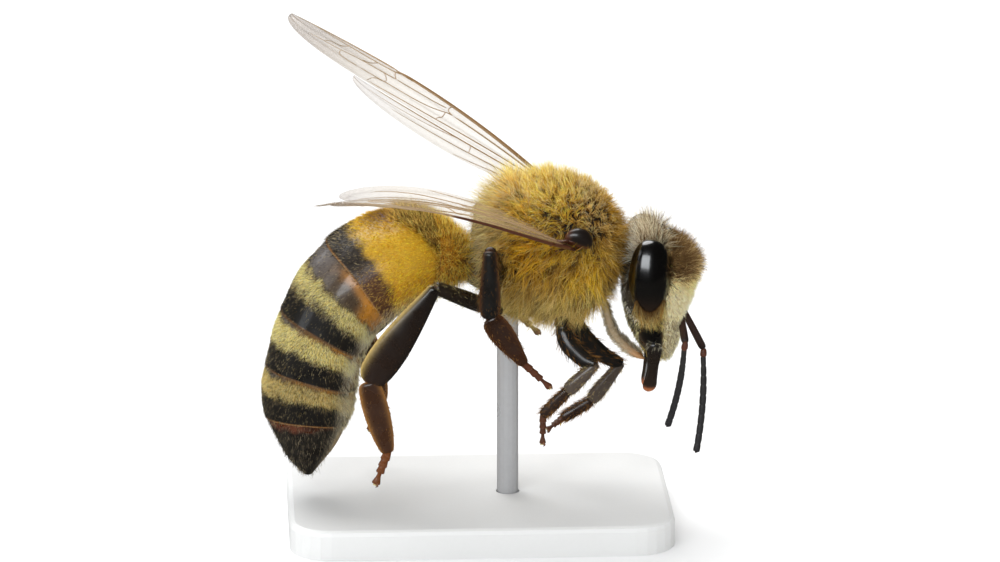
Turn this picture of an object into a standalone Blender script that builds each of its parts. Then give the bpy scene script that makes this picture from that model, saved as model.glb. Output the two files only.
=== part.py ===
"""Worker honey bee, life size, in a hanging flight pose on a small display stand.

Metres, +Z up. The bee looks along +X, its right side is at -Y. The origin is the middle of the
underside of the stand's base. Sizes below are in millimetres, from the middle of the thorax.
Every solid reaches out to the tips of the coat where there is one.
"""

import math

import bpy
import bmesh
import numpy as np
from mathutils import Vector

MM = 0.001

# ---- where the bee hangs over the base -------------------------------------------------------
THORAX_X = 2.0
THORAX_Z = 7.75
GAP = 0.035                 # clearance between neighbouring solids

# ---- stand -----------------------------------------------------------------------------------
BASE_LENGTH = 10.4
BASE_WIDTH = 6.8
BASE_HEIGHT = 0.8
BASE_EDGE = 0.14
ROD_RADIUS = 0.29
ROD_X = -1.2                # from the thorax
ROD_TOP_Z = -1.6            # from the thorax
ROD_SOCKET = 0.5

# ---- trunk: x, middle z, half height, half width, out to the tips of the hair ------------------
THORAX = (
    (-2.22, -0.28, 0.34, 0.42),
    (-1.95, -0.12, 1.10, 1.12),
    (-1.45, 0.00, 1.72, 1.62),
    (-0.75, 0.04, 2.10, 1.95),
    (0.00, 0.02, 2.24, 2.08),
    (0.70, 0.02, 2.16, 2.05),
    (1.30, 0.05, 1.88, 1.84),
    (1.80, 0.08, 1.40, 1.42),
    (2.12, 0.10, 0.80, 0.84),
    (2.24, 0.10, 0.30, 0.32),
)

# ---- abdomen: x and z of the middle line, half depth, half width -------------------------------
ABDOMEN = (
    (-2.20, -0.46, 0.34, 0.42),
    (-2.75, -0.36, 0.86, 1.10),
    (-3.40, -0.29, 1.20, 1.54),
    (-4.20, -0.32, 1.42, 1.80),
    (-5.10, -0.80, 1.46, 1.92),
    (-5.80, -1.58, 1.40, 1.94),
    (-6.25, -2.45, 1.33, 1.90),
    (-6.50, -3.40, 1.33, 1.80),
    (-6.61, -4.30, 1.33, 1.58),
    (-6.63, -5.10, 1.03, 1.18),
    (-6.66, -5.78, 0.62, 0.70),
    (-6.64, -6.36, 0.12, 0.14),
)
PLATE_ENDS = (0.0, 1.75, 4.22, 6.02, 7.22, 8.62, 11.0)   # in stations along the middle line
PLATE_SIDE_ADVANCE = 0.28   # how far a plate's rim runs forward on the flanks
PLATE_LIP = 0.97            # a plate starts a little inside the rim of the one before

# ---- head: z, middle x, half depth, half width --------------------------------------------------
HEAD = (
    (0.78, 2.95, 0.20, 0.42),
    (0.45, 2.95, 0.66, 1.10),
    (0.00, 3.02, 0.94, 1.55),
    (-0.60, 2.97, 1.06, 1.80),
    (-1.20, 2.94, 1.12, 1.86),
    (-1.80, 2.92, 1.03, 1.60),
    (-2.40, 2.92, 0.85, 1.20),
    (-2.90, 2.97, 0.62, 0.88),
    (-3.28, 3.00, 0.34, 0.55),
)
EYE_AT = (2.55, 1.43, -0.48)
EYE_RADII = (0.53, 0.46, 1.08)
EYE_TILT = math.radians(3.0)    # top forward
EYE_LEAN = math.radians(11.0)   # top towards the crown

# ---- mouth parts ---------------------------------------------------------------------------------
MANDIBLE_ROOT = (2.72, 0.98, -2.45)
MANDIBLE_TIP = (2.70, 0.22, -4.08)
MANDIBLE_HALF = (0.27, 0.19)
TONGUE = (
    (1.42, -1.45, 0.14, 0.32),
    (1.54, -2.08, 0.20, 0.42),
    (1.76, -2.56, 0.22, 0.46),
    (2.12, -2.92, 0.22, 0.42),
    (2.52, -3.20, 0.16, 0.34),
)

# ---- feelers: socket, elbow and tip, right side (-Y) then left side (+Y) -------------------------
FEELER_RIGHT = ((3.42, -0.32, -1.60), (3.52, -1.42, -2.40), (3.13, -0.45, -5.04))
FEELER_LEFT = ((3.48, 0.24, -1.72), (4.16, 0.20, -3.06), (3.93, -0.30, -5.86))
FEELER_RADIUS = 0.23
FEELER_BOW = (0.08, 0.0, 0.0)
FEELER_BROAD = (0.0, 1.0, 0.2)

# ---- wings ---------------------------------------------------------------------------------------
WING_HALF_THICK = 0.25
WING_ROOT_RIGHT = (0.52, -1.63, 0.36)
WING_ROOT_LEFT = (0.49, 1.63, 0.83)
WING_SPAN_RIGHT = (-0.690, -0.647, 0.325)     # root to tip
WING_SPAN_LEFT = (-0.806, 0.304, 0.507)
WING_CHORD_RIGHT = (-0.672, 0.739, 0.044)     # front edge to hind edge
WING_CHORD_LEFT = (-0.298, -0.950, 0.096)
WING_TWIST_RIGHT = math.radians(-36.0)        # from root to tip
WING_TWIST_LEFT = math.radians(5.0)
FOREWING_LENGTH = 9.15
FOREWING_FRONT = 0.62       # how far the front edge bows out from the root-to-tip line
FOREWING_HIND = 2.32        # how far the hind edge reaches back from it
FOREWING_WIDEST = 0.72      # share of the length where it is widest
WING_CAMBER = 0.22
HINDWING_LENGTH = 6.4
HINDWING_CHORD = 1.75
WING_GAP = 0.06

CAP_SHELL_AT = (0.62, 1.82, 0.70)
CAP_SHELL_RADII = (0.40, 0.36, 0.38)

# ---- legs, right side: coxa, knee, heel of the shin, end of the long foot joint, claws ------------
FORE_RIGHT = ((0.22, -0.95, -1.75), (1.10, -1.60, -2.88), (0.32, -1.62, -3.64),
              (-0.33, -1.60, -4.31), (-0.34, -1.60, -5.16))
FORE_LEFT = ((0.50, 0.72, -1.85), (1.97, 1.14, -3.70), (1.15, 1.12, -4.76),
             (0.38, 1.06, -5.22), (-0.08, 1.00, -5.56))
MID_RIGHT = ((-0.70, -1.00, -1.20), (-1.80, -2.42, 0.52), (-1.81, -2.60, -1.27),
             (-0.89, -2.58, -2.57), (-0.16, -2.56, -3.28))
HIND_RIGHT = ((-1.45, -0.90, -1.60), (-3.25, -2.24, -0.50), (-5.06, -2.42, -3.06),
              (-4.55, -2.40, -5.03), (-4.90, -2.40, -5.98))
FORE_BOW = (-0.22, 0.0, -0.20)      # the upper joint of a fore leg sags back and down

# half widths, broad way and thin way, at the near and far end of each joint of a leg
FORE_FORM = (((0.27, 0.25), (0.23, 0.22)), ((0.22, 0.22), (0.25, 0.22)),
             ((0.23, 0.22), (0.23, 0.22)), ((0.22, 0.21), (0.22, 0.20)))
MID_FORM = (((0.30, 0.26), (0.24, 0.22)), ((0.27, 0.24), (0.30, 0.24)),
            ((0.32, 0.22), (0.37, 0.22)), ((0.24, 0.21), (0.22, 0.20)))
HIND_FORM = (((0.30, 0.26), (0.26, 0.24)), ((0.24, 0.22), (0.48, 0.24)),
             ((0.42, 0.22), (0.38, 0.22)), ((0.24, 0.21), (0.23, 0.20)))
CAP = 0.9                   # how round the ends of a limb's joints are
JOINT_NAMES = ("femur", "tibia", "basitarsus", "tarsus")

# ---- fineness ------------------------------------------------------------------------------------
BODY_SIDES = 22
LIMB_SIDES = 8
WING_SIDES = 12

AMBER = (0.50, 0.30, 0.07)
STRAW = (0.55, 0.42, 0.17)
UMBER = (0.05, 0.032, 0.02)
BLACK = (0.015, 0.013, 0.012)
RUST = (0.18, 0.06, 0.02)
SMOKE = (0.62, 0.56, 0.46)
SLATE = (0.16, 0.16, 0.17)


def clear_scene():
    for item in list(bpy.context.scene.objects):
        bpy.data.objects.remove(item, do_unlink=True)


def material(name, colour, roughness, metallic=0.0):
    made = bpy.data.materials.new(name)
    made.use_nodes = True
    shader = made.node_tree.nodes["Principled BSDF"]
    shader.inputs["Base Color"].default_value = (*colour, 1.0)
    shader.inputs["Roughness"].default_value = roughness
    shader.inputs["Metallic"].default_value = metallic
    return made


def unit(vector):
    vector = np.asarray(vector, float)
    return vector / np.linalg.norm(vector)


def mirrored(point):
    return (point[0], -point[1], point[2])


def smooth_rows(rows, steps):
    """Values at the given steps along the rows, on a curve that passes through every row."""
    rows = np.asarray(rows, float)
    padded = np.vstack((2 * rows[0] - rows[1], rows, 2 * rows[-1] - rows[-2]))
    made = []
    for step in steps:
        first = min(int(step), len(rows) - 2)
        part = step - first
        before, start, end, after = padded[first:first + 4]
        made.append(0.5 * (2 * start + (end - before) * part
                           + (2 * before - 5 * start + 4 * end - after) * part ** 2
                           + (3 * start - before - 3 * end + after) * part ** 3))
    return np.array(made)


def ring(middle, side, up, half_side, half_up, count, boxy=1.0):
    """Points of one cross section; boxy under 1 squares its corners."""
    turn = np.arange(count) * 2 * math.pi / count
    across = np.sign(np.cos(turn)) * np.abs(np.cos(turn)) ** boxy * half_side
    along = np.sign(np.sin(turn)) * np.abs(np.sin(turn)) ** boxy * half_up
    return np.asarray(middle) + np.outer(across, side) + np.outer(along, up)


def skin_rings(name, rings, anchor, look, poles=None):
    """A closed object over a row of rings, its two ends drawn to a point in their middle."""
    anchor = np.asarray(anchor, float)
    mesh = bpy.data.meshes.new(name)
    bm = bmesh.new()
    rows = [[bm.verts.new(Vector((point - anchor) * MM)) for point in one] for one in rings]
    count = len(rows[0])
    for lower, upper in zip(rows, rows[1:]):
        for k in range(count):
            following = (k + 1) % count
            bm.faces.new((lower[k], lower[following], upper[following], upper[k]))
    poles = poles or (np.mean(rings[0], axis=0), np.mean(rings[-1], axis=0))
    for row, pole in ((rows[0], poles[0]), (rows[-1], poles[1])):
        tip = bm.verts.new(Vector((np.asarray(pole) - anchor) * MM))
        for k in range(count):
            bm.faces.new((row[k], row[(k + 1) % count], tip))
    bmesh.ops.recalc_face_normals(bm, faces=bm.faces)
    bm.to_mesh(mesh)
    bm.free()
    mesh.shade_smooth()
    mesh.set_sharp_from_angle(angle=math.radians(40))
    made = bpy.data.objects.new(name, mesh)
    bpy.context.scene.collection.objects.link(made)
    made.location = Vector(anchor * MM)
    if look:
        mesh.materials.append(look)
    return made


def as_cutter(shape):
    shape.hide_render = True
    shape.display_type = "WIRE"
    return shape


def cut(target, *cutters):
    for cutter in cutters:
        step = target.modifiers.new("clear_" + cutter.name, "BOOLEAN")
        step.operation = "DIFFERENCE"
        step.solver = "EXACT"
        step.object = cutter


def thorax(name, look, grow=0.0):
    rows = smooth_rows(THORAX, np.linspace(0, len(THORAX) - 1, 16))
    rings = [ring((x + grow * math.copysign(1, x), 0, z), (0, 1, 0), (0, 0, 1),
                  half_width + grow, half_height + grow, BODY_SIDES)
             for x, z, half_height, half_width in rows]
    return skin_rings(name, rings, (0, 0, 0), look)


def head(name, look, grow=0.0):
    rows = smooth_rows(HEAD, np.linspace(0, len(HEAD) - 1, 15))
    middle_z = -1.2
    rings = [ring((x, 0, z + grow * math.copysign(1, z - middle_z)), (0, 1, 0), (1, 0, 0),
                  half_width + grow, half_depth + grow, BODY_SIDES, 0.92)
             for z, x, half_depth, half_width in rows]
    return skin_rings(name, rings, (2.95, 0, middle_z), look)


def eye(name, side, look, grow=0.0):
    """A long dome down the side of the head."""
    middle = np.array((EYE_AT[0], side * EYE_AT[1], EYE_AT[2]))
    long_way = unit((math.sin(EYE_TILT), -side * math.sin(EYE_LEAN), math.cos(EYE_LEAN)))
    wide_way = unit((math.cos(EYE_TILT), 0, -math.sin(EYE_TILT)))
    out_way = np.cross(long_way, wide_way)
    rings = []
    for turn in np.linspace(-0.96, 0.96, 11) * math.pi / 2:
        rings.append(ring(middle + long_way * math.sin(turn) * (EYE_RADII[2] + grow), wide_way,
                          out_way, EYE_RADII[0] * math.cos(turn) + grow,
                          EYE_RADII[1] * math.cos(turn) + grow, 16))
    return skin_rings(name, rings, middle, look)


def abdomen_frame(step):
    """Middle, backbone side direction, half depth and half width at a step along the abdomen."""
    x, z, half_depth, half_width = smooth_rows(ABDOMEN, (step,))[0]
    last = len(ABDOMEN) - 1
    before = smooth_rows(ABDOMEN, (max(step - 0.05, 0.0),))[0]
    after = smooth_rows(ABDOMEN, (min(step + 0.05, last),))[0]
    way = unit((after[0] - before[0], 0, after[1] - before[1]))
    return np.array((x, 0, z)), np.array((way[2], 0, -way[0])), half_depth, half_width


def abdomen_ring(step, scale, start, end):
    """A plate's cross section, whose sides run forward of its top and bottom."""
    points = []
    for k in range(BODY_SIDES):
        turn = k * 2 * math.pi / BODY_SIDES
        here = step - PLATE_SIDE_ADVANCE * math.sin(turn) ** 2
        here = min(max(here, start), end)
        middle, back, half_depth, half_width = abdomen_frame(here)
        points.append(middle + back * math.cos(turn) * half_depth * scale
                      + np.array((0, 1, 0)) * math.sin(turn) * half_width * scale)
    return np.array(points)


def abdomen_plate(index, look):
    first, last = PLATE_ENDS[index], PLATE_ENDS[index + 1]
    final = len(ABDOMEN) - 1
    first += GAP if index else 0.0
    last -= 0.0 if last == final else GAP
    count = max(5, int(round((last - first) * 3)))
    rings = []
    for k in range(count):
        part = k / (count - 1)
        scale = 1.0 - (1.0 - PLATE_LIP) * (1 - part) if index else 1.0
        rings.append(abdomen_ring(first + (last - first) * part, scale, 0.0, final))
    poles = (abdomen_frame(first)[0], abdomen_frame(last)[0])
    return skin_rings("abdomen_" + str(index + 1), rings, poles[0], look, poles)


def tube(name, rows, broad, sides, look, boxy=1.0):
    """A limb over rows of x, y, z, broad half width, thin half width."""
    rows = np.asarray(rows, float)
    rings = []
    for k, row in enumerate(rows):
        way = unit(rows[min(k + 1, len(rows) - 1), :3] - rows[max(k - 1, 0), :3])
        thin_way = unit(np.cross(way, broad))
        broad_way = np.cross(thin_way, way)
        rings.append(ring(row[:3], broad_way, thin_way, row[3], row[4], sides, boxy))
    return skin_rings(name, rings, rows[0, :3], look)


def limb_rows(start, end, near, far, bow=(0, 0, 0), count=8, round_near=0.25, round_far=0.16):
    """Rows from start to end whose ends are rounded over the given share of the length."""
    start, end, bow = np.asarray(start, float), np.asarray(end, float), np.asarray(bow, float)
    steps = np.concatenate(((0.0, 0.35 * round_near), np.linspace(round_near, 1 - round_far, count - 4),
                            (1 - 0.35 * round_far, 1.0)))
    rows = []
    for step in steps:
        near_cap = min(step / round_near, 1.0)
        far_cap = min((1 - step) / round_far, 1.0)
        size = math.sqrt(1 - (1 - near_cap) ** 2 * CAP) * math.sqrt(1 - (1 - far_cap) ** 2 * CAP)
        middle = start + (end - start) * step + bow * 4 * step * (1 - step)
        half = np.asarray(near) * (1 - step) + np.asarray(far) * step
        rows.append((*middle, *(half * size)))
    return rows


def joint_clearance(before, joint, after, half):
    """How far each of two joints stops short of their meeting point, so that their ends just clear."""
    bend = math.acos(max(-1.0, min(1.0, unit(joint - before) @ unit(after - joint))))
    return GAP / 2 + half * math.sqrt(1 - CAP) * math.tan(bend / 2)


def leg(name, points, form, broad, looks, body_cutter, bow=(0, 0, 0)):
    """Four joints in a row, each just clear of the rounded end of the one before."""
    points = [np.asarray(point, float) for point in points]
    clear = [0.0]
    for k in range(1, len(points) - 1):
        clear.append(joint_clearance(*points[k - 1:k + 2], max(form[k - 1][1] + form[k][0])))
    clear.append(0.0)
    for k, joint in enumerate(JOINT_NAMES):
        way = unit(points[k + 1] - points[k])
        rows = limb_rows(points[k] + way * clear[k], points[k + 1] - way * clear[k + 1], *form[k],
                         bow if k == 0 else (0, 0, 0))
        piece = tube(name + "_" + joint, rows, broad, LIMB_SIDES, looks[k])
        if k == 0:
            cut(piece, body_cutter)


def front_edge(share):
    """How far the forewing's front edge lies before the root-to-tip line."""
    return FOREWING_FRONT * max(math.sin(math.pi * share ** 0.9), 0.0) ** 0.8


def hind_edge(share):
    """How far the forewing's hind edge lies behind that line; it rounds off to the tip."""
    broad = math.sin(min(share / FOREWING_WIDEST, 1.0) * math.pi / 2) ** 1.15
    past = max(share - FOREWING_WIDEST, 0.0) / (1 - FOREWING_WIDEST)
    return FOREWING_HIND * broad * math.sqrt(max(1 - past ** 2.4, 0.0))


def wing_frame(side):
    root = np.array(WING_ROOT_RIGHT if side < 0 else WING_ROOT_LEFT)
    span = unit(WING_SPAN_RIGHT if side < 0 else WING_SPAN_LEFT)
    chord = np.array(WING_CHORD_RIGHT if side < 0 else WING_CHORD_LEFT)
    chord = unit(chord - span * (chord @ span))
    twist = WING_TWIST_RIGHT if side < 0 else WING_TWIST_LEFT
    return root, span, chord, unit(np.cross(span, chord) * side), twist


def wing_ring(frame, share, front, hind):
    """Cross section at a share of the forewing's length between two places along the chord."""
    root, span, chord, face, twist = frame
    turn = (share - 0.5) * twist
    across = chord * math.cos(turn) + face * math.sin(turn)
    over = face * math.cos(turn) - chord * math.sin(turn)
    middle = (root + span * share * FOREWING_LENGTH + across * (front + hind) / 2
              + face * WING_CAMBER * math.sin(math.pi * share))
    return ring(middle, across, over, max((hind - front) / 2, 0.22), WING_HALF_THICK, WING_SIDES, 0.55)


def forewing(name, side, look, body_cutter):
    frame = wing_frame(side)
    shares = 1 - np.linspace(1.0, 0.03, 15) ** 1.5
    rings = [wing_ring(frame, share, -front_edge(share), hind_edge(share)) for share in shares]
    made = skin_rings(name, rings, frame[0], look)
    cut(made, body_cutter)


def hindwing(name, side, look, body_cutter):
    """Lies behind the forewing, its front edge following the forewing's hind edge."""
    frame = wing_frame(side)
    rings = []
    for share in 1 - np.linspace(0.9, 0.03, 11) ** 1.4:
        of_fore = share * HINDWING_LENGTH / FOREWING_LENGTH
        front = hind_edge(of_fore) + WING_GAP
        form = math.sin(min(share / 0.5, 1.0) * math.pi / 2) ** 0.9
        form *= math.sqrt(max(1 - (max(share - 0.5, 0.0) / 0.5) ** 2.2, 0.0))
        rings.append(wing_ring(frame, of_fore, front, front + HINDWING_CHORD * form))
    made = skin_rings(name, rings, frame[0], look)
    cut(made, body_cutter)


def feeler(name, points, looks, head_cutter):
    socket, elbow, tip = (np.array(point) for point in points)
    scape_way = unit(elbow - socket)
    whip_way = unit(tip - elbow)
    clear = joint_clearance(socket, elbow, tip, FEELER_RADIUS)
    thick = (FEELER_RADIUS, FEELER_RADIUS)
    scape = tube(name + "_scape", limb_rows(socket, elbow - scape_way * clear, thick, thick),
                 FEELER_BROAD, 8, looks[0])
    cut(scape, head_cutter)
    tube(name + "_flagellum", limb_rows(elbow + whip_way * clear, tip, thick, thick, FEELER_BOW,
                                        10, 0.08, 0.08), FEELER_BROAD, 8, looks[1])


def mandible(name, side, look, head_cutter):
    root = (MANDIBLE_ROOT[0], side * MANDIBLE_ROOT[1], MANDIBLE_ROOT[2])
    tip = (MANDIBLE_TIP[0], side * MANDIBLE_TIP[1], MANDIBLE_TIP[2])
    rows = limb_rows(root, tip, (MANDIBLE_HALF[0],) * 2, (0.25, 0.15), (0, side * 0.10, 0))
    made = tube(name, rows, (1, 0, 0), LIMB_SIDES, look)
    cut(made, head_cutter)


def tongue(name, look, *cutters):
    """The folded tongue and its sheath, curving from under the throat to the chin."""
    rows = smooth_rows(TONGUE, np.linspace(0, len(TONGUE) - 1, 9))
    rows = [(x, 0, z, half_width, half_depth) for x, z, half_depth, half_width in rows]
    made = tube(name, rows, (0, 1, 0), LIMB_SIDES, look, 0.9)
    cut(made, *cutters)


def shoulder_cap(name, side, look, body_cutter):
    """The small shell over the root of the wing."""
    middle = np.array((CAP_SHELL_AT[0], side * CAP_SHELL_AT[1], CAP_SHELL_AT[2]))
    rings = []
    for turn in np.linspace(-0.9, 0.9, 7) * math.pi / 2:
        rings.append(ring(middle + np.array((CAP_SHELL_RADII[0] * math.sin(turn), 0, 0)), (0, 1, 0),
                          (0, 0, 1), CAP_SHELL_RADII[1] * math.cos(turn),
                          CAP_SHELL_RADII[2] * math.cos(turn), 12))
    made = skin_rings(name, rings, middle, look)
    cut(made, body_cutter)


def stand(look_base, look_rod, body_cutter, parent):
    base_mesh = bpy.data.meshes.new("stand_base")
    bm = bmesh.new()
    bmesh.ops.create_cube(bm, size=1.0)
    bmesh.ops.scale(bm, vec=(BASE_LENGTH * MM, BASE_WIDTH * MM, BASE_HEIGHT * MM), verts=bm.verts)
    uprights = [edge for edge in bm.edges
                if abs(edge.verts[0].co.z - edge.verts[1].co.z) > BASE_HEIGHT * MM * 0.5]
    bmesh.ops.bevel(bm, geom=uprights, offset=1.1 * MM, segments=6, profile=0.5, affect="EDGES")
    top = [edge for edge in bm.edges if min(v.co.z for v in edge.verts) > BASE_HEIGHT * MM * 0.4]
    bmesh.ops.bevel(bm, geom=top, offset=BASE_EDGE * MM, segments=2, profile=0.5, affect="EDGES")
    bm.to_mesh(base_mesh)
    bm.free()
    base_mesh.materials.append(look_base)
    base = bpy.data.objects.new("stand_base", base_mesh)
    bpy.context.scene.collection.objects.link(base)
    base.location = (0, 0, BASE_HEIGHT * MM / 2)
    foot_z = BASE_HEIGHT - ROD_SOCKET - THORAX_Z
    socket = rod_form("socket_cut", foot_z - GAP, ROD_TOP_Z, ROD_RADIUS + GAP, None)
    as_cutter(socket).parent = parent
    cut(base, socket)
    rod = rod_form("stand_rod", foot_z, ROD_TOP_Z, ROD_RADIUS, look_rod)
    rod.parent = parent
    cut(rod, body_cutter)


def rod_form(name, low, high, radius, look):
    rings = [ring((ROD_X, 0, z), (0, 1, 0), (1, 0, 0), radius, radius, 16) for z in (low, high)]
    return skin_rings(name, rings, (ROD_X, 0, low), look)


def build():
    clear_scene()
    bee = bpy.data.objects.new("bee", None)
    bpy.context.scene.collection.objects.link(bee)
    bee.location = (THORAX_X * MM, 0, THORAX_Z * MM)

    fur = material("coat_straw", STRAW, 0.85)
    face_fur = material("coat_face", (0.42, 0.36, 0.20), 0.85)
    amber_shell = material("shell_amber", AMBER, 0.4)
    dark_shell = material("shell_umber", UMBER, 0.35)
    black_shell = material("shell_black", BLACK, 0.2)
    rust_shell = material("shell_rust", RUST, 0.35)
    eye_glass = material("eye_black", BLACK, 0.12)
    membrane = material("wing_smoke", SMOKE, 0.25)
    feeler_skin = material("feeler_slate", SLATE, 0.45)
    board = material("stand_board", (0.05, 0.05, 0.055), 0.4)
    steel = material("stand_steel", (0.6, 0.6, 0.62), 0.3, 1.0)

    thorax("thorax", fur)
    thorax_cut = as_cutter(thorax("thorax_cut", None, GAP))
    head_cut = as_cutter(head("head_cut", None, GAP))
    skull = head("head", face_fur)
    cut(skull, thorax_cut)

    for side, side_name in ((-1, "right"), (1, "left")):
        eye("eye_" + side_name, side, eye_glass)
        cut(skull, as_cutter(eye("eye_cut_" + side_name, side, None, GAP)))
        mandible("mandible_" + side_name, side, rust_shell, head_cut)
        shoulder_cap("tegula_" + side_name, side, black_shell, thorax_cut)
        forewing("forewing_" + side_name, side, membrane, thorax_cut)
        hindwing("hindwing_" + side_name, side, membrane, thorax_cut)
    tongue("proboscis", amber_shell, head_cut, thorax_cut)
    feeler("antenna_right", FEELER_RIGHT, (dark_shell, feeler_skin), head_cut)
    feeler("antenna_left", FEELER_LEFT, (dark_shell, feeler_skin), head_cut)

    looks = (rust_shell, amber_shell, dark_shell, dark_shell, dark_shell, black_shell)
    plates = [abdomen_plate(index, look) for index, look in enumerate(looks)]
    cut(plates[0], thorax_cut)

    leg_looks = (black_shell, black_shell, rust_shell, rust_shell)
    broad = (1.0, 0.0, 0.35)
    leg("leg_fore_right", FORE_RIGHT, FORE_FORM, broad, leg_looks, thorax_cut, FORE_BOW)
    leg("leg_fore_left", FORE_LEFT, FORE_FORM, broad, leg_looks, thorax_cut, FORE_BOW)
    for side, side_name in ((-1, "right"), (1, "left")):
        for pair, points, form in (("mid", MID_RIGHT, MID_FORM), ("hind", HIND_RIGHT, HIND_FORM)):
            placed = points if side < 0 else tuple(mirrored(point) for point in points)
            leg("leg_" + pair + "_" + side_name, placed, form, broad, leg_looks, thorax_cut)

    for item in bpy.context.scene.objects:
        if item is not bee:
            item.parent = bee
    stand(board, steel, thorax_cut, bee)


build()
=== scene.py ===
import math

import bpy
import numpy as np
from mathutils import Matrix, Vector, kdtree


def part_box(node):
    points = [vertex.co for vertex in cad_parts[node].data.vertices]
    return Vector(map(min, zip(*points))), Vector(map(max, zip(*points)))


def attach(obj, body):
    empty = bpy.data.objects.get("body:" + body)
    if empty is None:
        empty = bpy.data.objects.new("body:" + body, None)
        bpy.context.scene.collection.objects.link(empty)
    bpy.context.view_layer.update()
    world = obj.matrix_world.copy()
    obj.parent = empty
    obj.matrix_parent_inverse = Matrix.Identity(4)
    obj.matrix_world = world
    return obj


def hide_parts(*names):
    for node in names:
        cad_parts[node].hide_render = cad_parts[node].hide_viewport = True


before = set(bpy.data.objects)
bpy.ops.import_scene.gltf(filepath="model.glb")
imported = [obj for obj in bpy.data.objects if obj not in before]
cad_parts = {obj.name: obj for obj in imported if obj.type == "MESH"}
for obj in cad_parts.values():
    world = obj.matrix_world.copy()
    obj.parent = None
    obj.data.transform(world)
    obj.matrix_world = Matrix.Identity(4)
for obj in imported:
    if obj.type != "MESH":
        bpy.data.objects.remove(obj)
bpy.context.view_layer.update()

MM = 0.001
low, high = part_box("thorax")
# Lengths below are millimetres from the middle of the thorax.
HOME = np.array(((low.x + high.x) / 2 / MM - 0.01, 0.0, (low.z + high.z) / 2 / MM - 0.02))
RIGHT, LEFT = -1, 1
SIDES = ((RIGHT, "right"), (LEFT, "left"))
DOWN = np.array((0.0, 0.0, -1.0))
REAR = np.array((-1.0, 0.0, 0.0))

# ---------------------------------------------------------------- forms of the body, to the hair tips
# along x: x, height of the middle, half height, half width
THORAX = ((-2.22, -0.28, 0.34, 0.42), (-1.95, -0.12, 1.10, 1.12), (-1.45, 0.00, 1.72, 1.62),
          (-0.75, 0.04, 2.10, 1.95), (0.00, 0.02, 2.24, 2.08), (0.70, 0.02, 2.16, 2.05),
          (1.30, 0.05, 1.88, 1.84), (1.80, 0.08, 1.40, 1.42), (2.12, 0.10, 0.80, 0.84),
          (2.24, 0.10, 0.30, 0.32))
# down its middle line: x, z, half depth, half width
ABDOMEN = ((-2.20, -0.46, 0.34, 0.42), (-2.75, -0.36, 0.86, 1.10), (-3.40, -0.29, 1.20, 1.54),
           (-4.20, -0.32, 1.42, 1.80), (-5.10, -0.80, 1.46, 1.92), (-5.80, -1.58, 1.40, 1.94),
           (-6.25, -2.45, 1.33, 1.90), (-6.50, -3.40, 1.33, 1.80), (-6.61, -4.30, 1.33, 1.58),
           (-6.63, -5.10, 1.03, 1.18), (-6.66, -5.78, 0.62, 0.70), (-6.64, -6.36, 0.12, 0.14))
# where its plates end and how far their flanks run forward, in steps of those rows
PLATE_ENDS = (0.0, 1.75, 4.22, 5.90, 7.20, 8.60, 11.0)
SIDE_ADVANCE = 0.22
# down from the crown: z, x, half depth, half width
HEAD = ((0.78, 2.95, 0.20, 0.42), (0.45, 2.95, 0.66, 1.10), (0.00, 3.02, 0.94, 1.55),
        (-0.60, 2.97, 1.06, 1.80), (-1.20, 2.94, 1.12, 1.86), (-1.80, 2.92, 1.03, 1.60),
        (-2.40, 2.92, 0.85, 1.20), (-2.90, 2.97, 0.62, 0.88), (-3.28, 3.00, 0.34, 0.55))
EYE_AT = (2.55, 1.43, -0.48)
EYE_RADII = (0.53, 0.46, 1.08)
EYE_TILT, EYE_LEAN = math.radians(3.0), math.radians(11.0)
# along the folded tongue: x, z, half depth, half width
TONGUE = ((1.42, -1.45, 0.14, 0.32), (1.54, -2.08, 0.20, 0.42), (1.76, -2.56, 0.22, 0.46),
          (2.12, -2.92, 0.22, 0.42), (2.52, -3.20, 0.16, 0.34))
# socket, elbow and tip
FEELERS = {"right": ((3.42, -0.32, -1.60), (3.52, -1.42, -2.40), (3.13, -0.45, -5.04)),
           "left": ((3.48, 0.24, -1.72), (4.16, 0.20, -3.06), (3.93, -0.30, -5.86))}
# the shell over each wing's root
CAP_AT = (0.62, 1.82, 0.70)

# each wing's root, its way out to the tip, its way back to the hind edge, and its twist
WING_ROOT = {RIGHT: (0.52, -1.63, 0.36), LEFT: (0.49, 1.63, 0.83)}
WING_SPAN = {RIGHT: (-0.690, -0.647, 0.325), LEFT: (-0.806, 0.304, 0.507)}
WING_CHORD = {RIGHT: (-0.672, 0.739, 0.044), LEFT: (-0.298, -0.950, 0.096)}
WING_TWIST = {RIGHT: math.radians(-36.0), LEFT: math.radians(5.0)}
FOREWING_LENGTH, HINDWING_LENGTH, HINDWING_CHORD, WING_GAP = 9.15, 6.4, 1.75, 0.06
CAMBER = 0.22

# coxa, knee, heel, end of the long foot joint, claws
LEGS = {
    "fore_right": ((0.22, -0.95, -1.75), (1.10, -1.60, -2.88), (0.32, -1.62, -3.64),
                   (-0.33, -1.60, -4.31), (-0.34, -1.60, -5.16)),
    "fore_left": ((0.50, 0.72, -1.85), (1.97, 1.14, -3.70), (1.15, 1.12, -4.76),
                  (0.38, 1.06, -5.22), (-0.08, 1.00, -5.56)),
    "mid_right": ((-1.30, -0.60, -1.20), (-1.80, -2.42, 0.52), (-1.81, -2.60, -1.27),
                  (-0.89, -2.58, -2.57), (-0.16, -2.56, -3.28)),
    "hind_right": ((-1.45, -0.90, -1.60), (-3.25, -2.24, -0.50), (-5.06, -2.42, -3.06),
                   (-4.55, -2.40, -5.03), (-4.90, -2.40, -5.98)),
}
for mirrored in ("mid", "hind"):
    LEGS[mirrored + "_left"] = tuple((x, -y, z) for x, y, z in LEGS[mirrored + "_right"])
POLE_SAMPLES = 12       # places round a pole whose middle closes it
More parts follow.
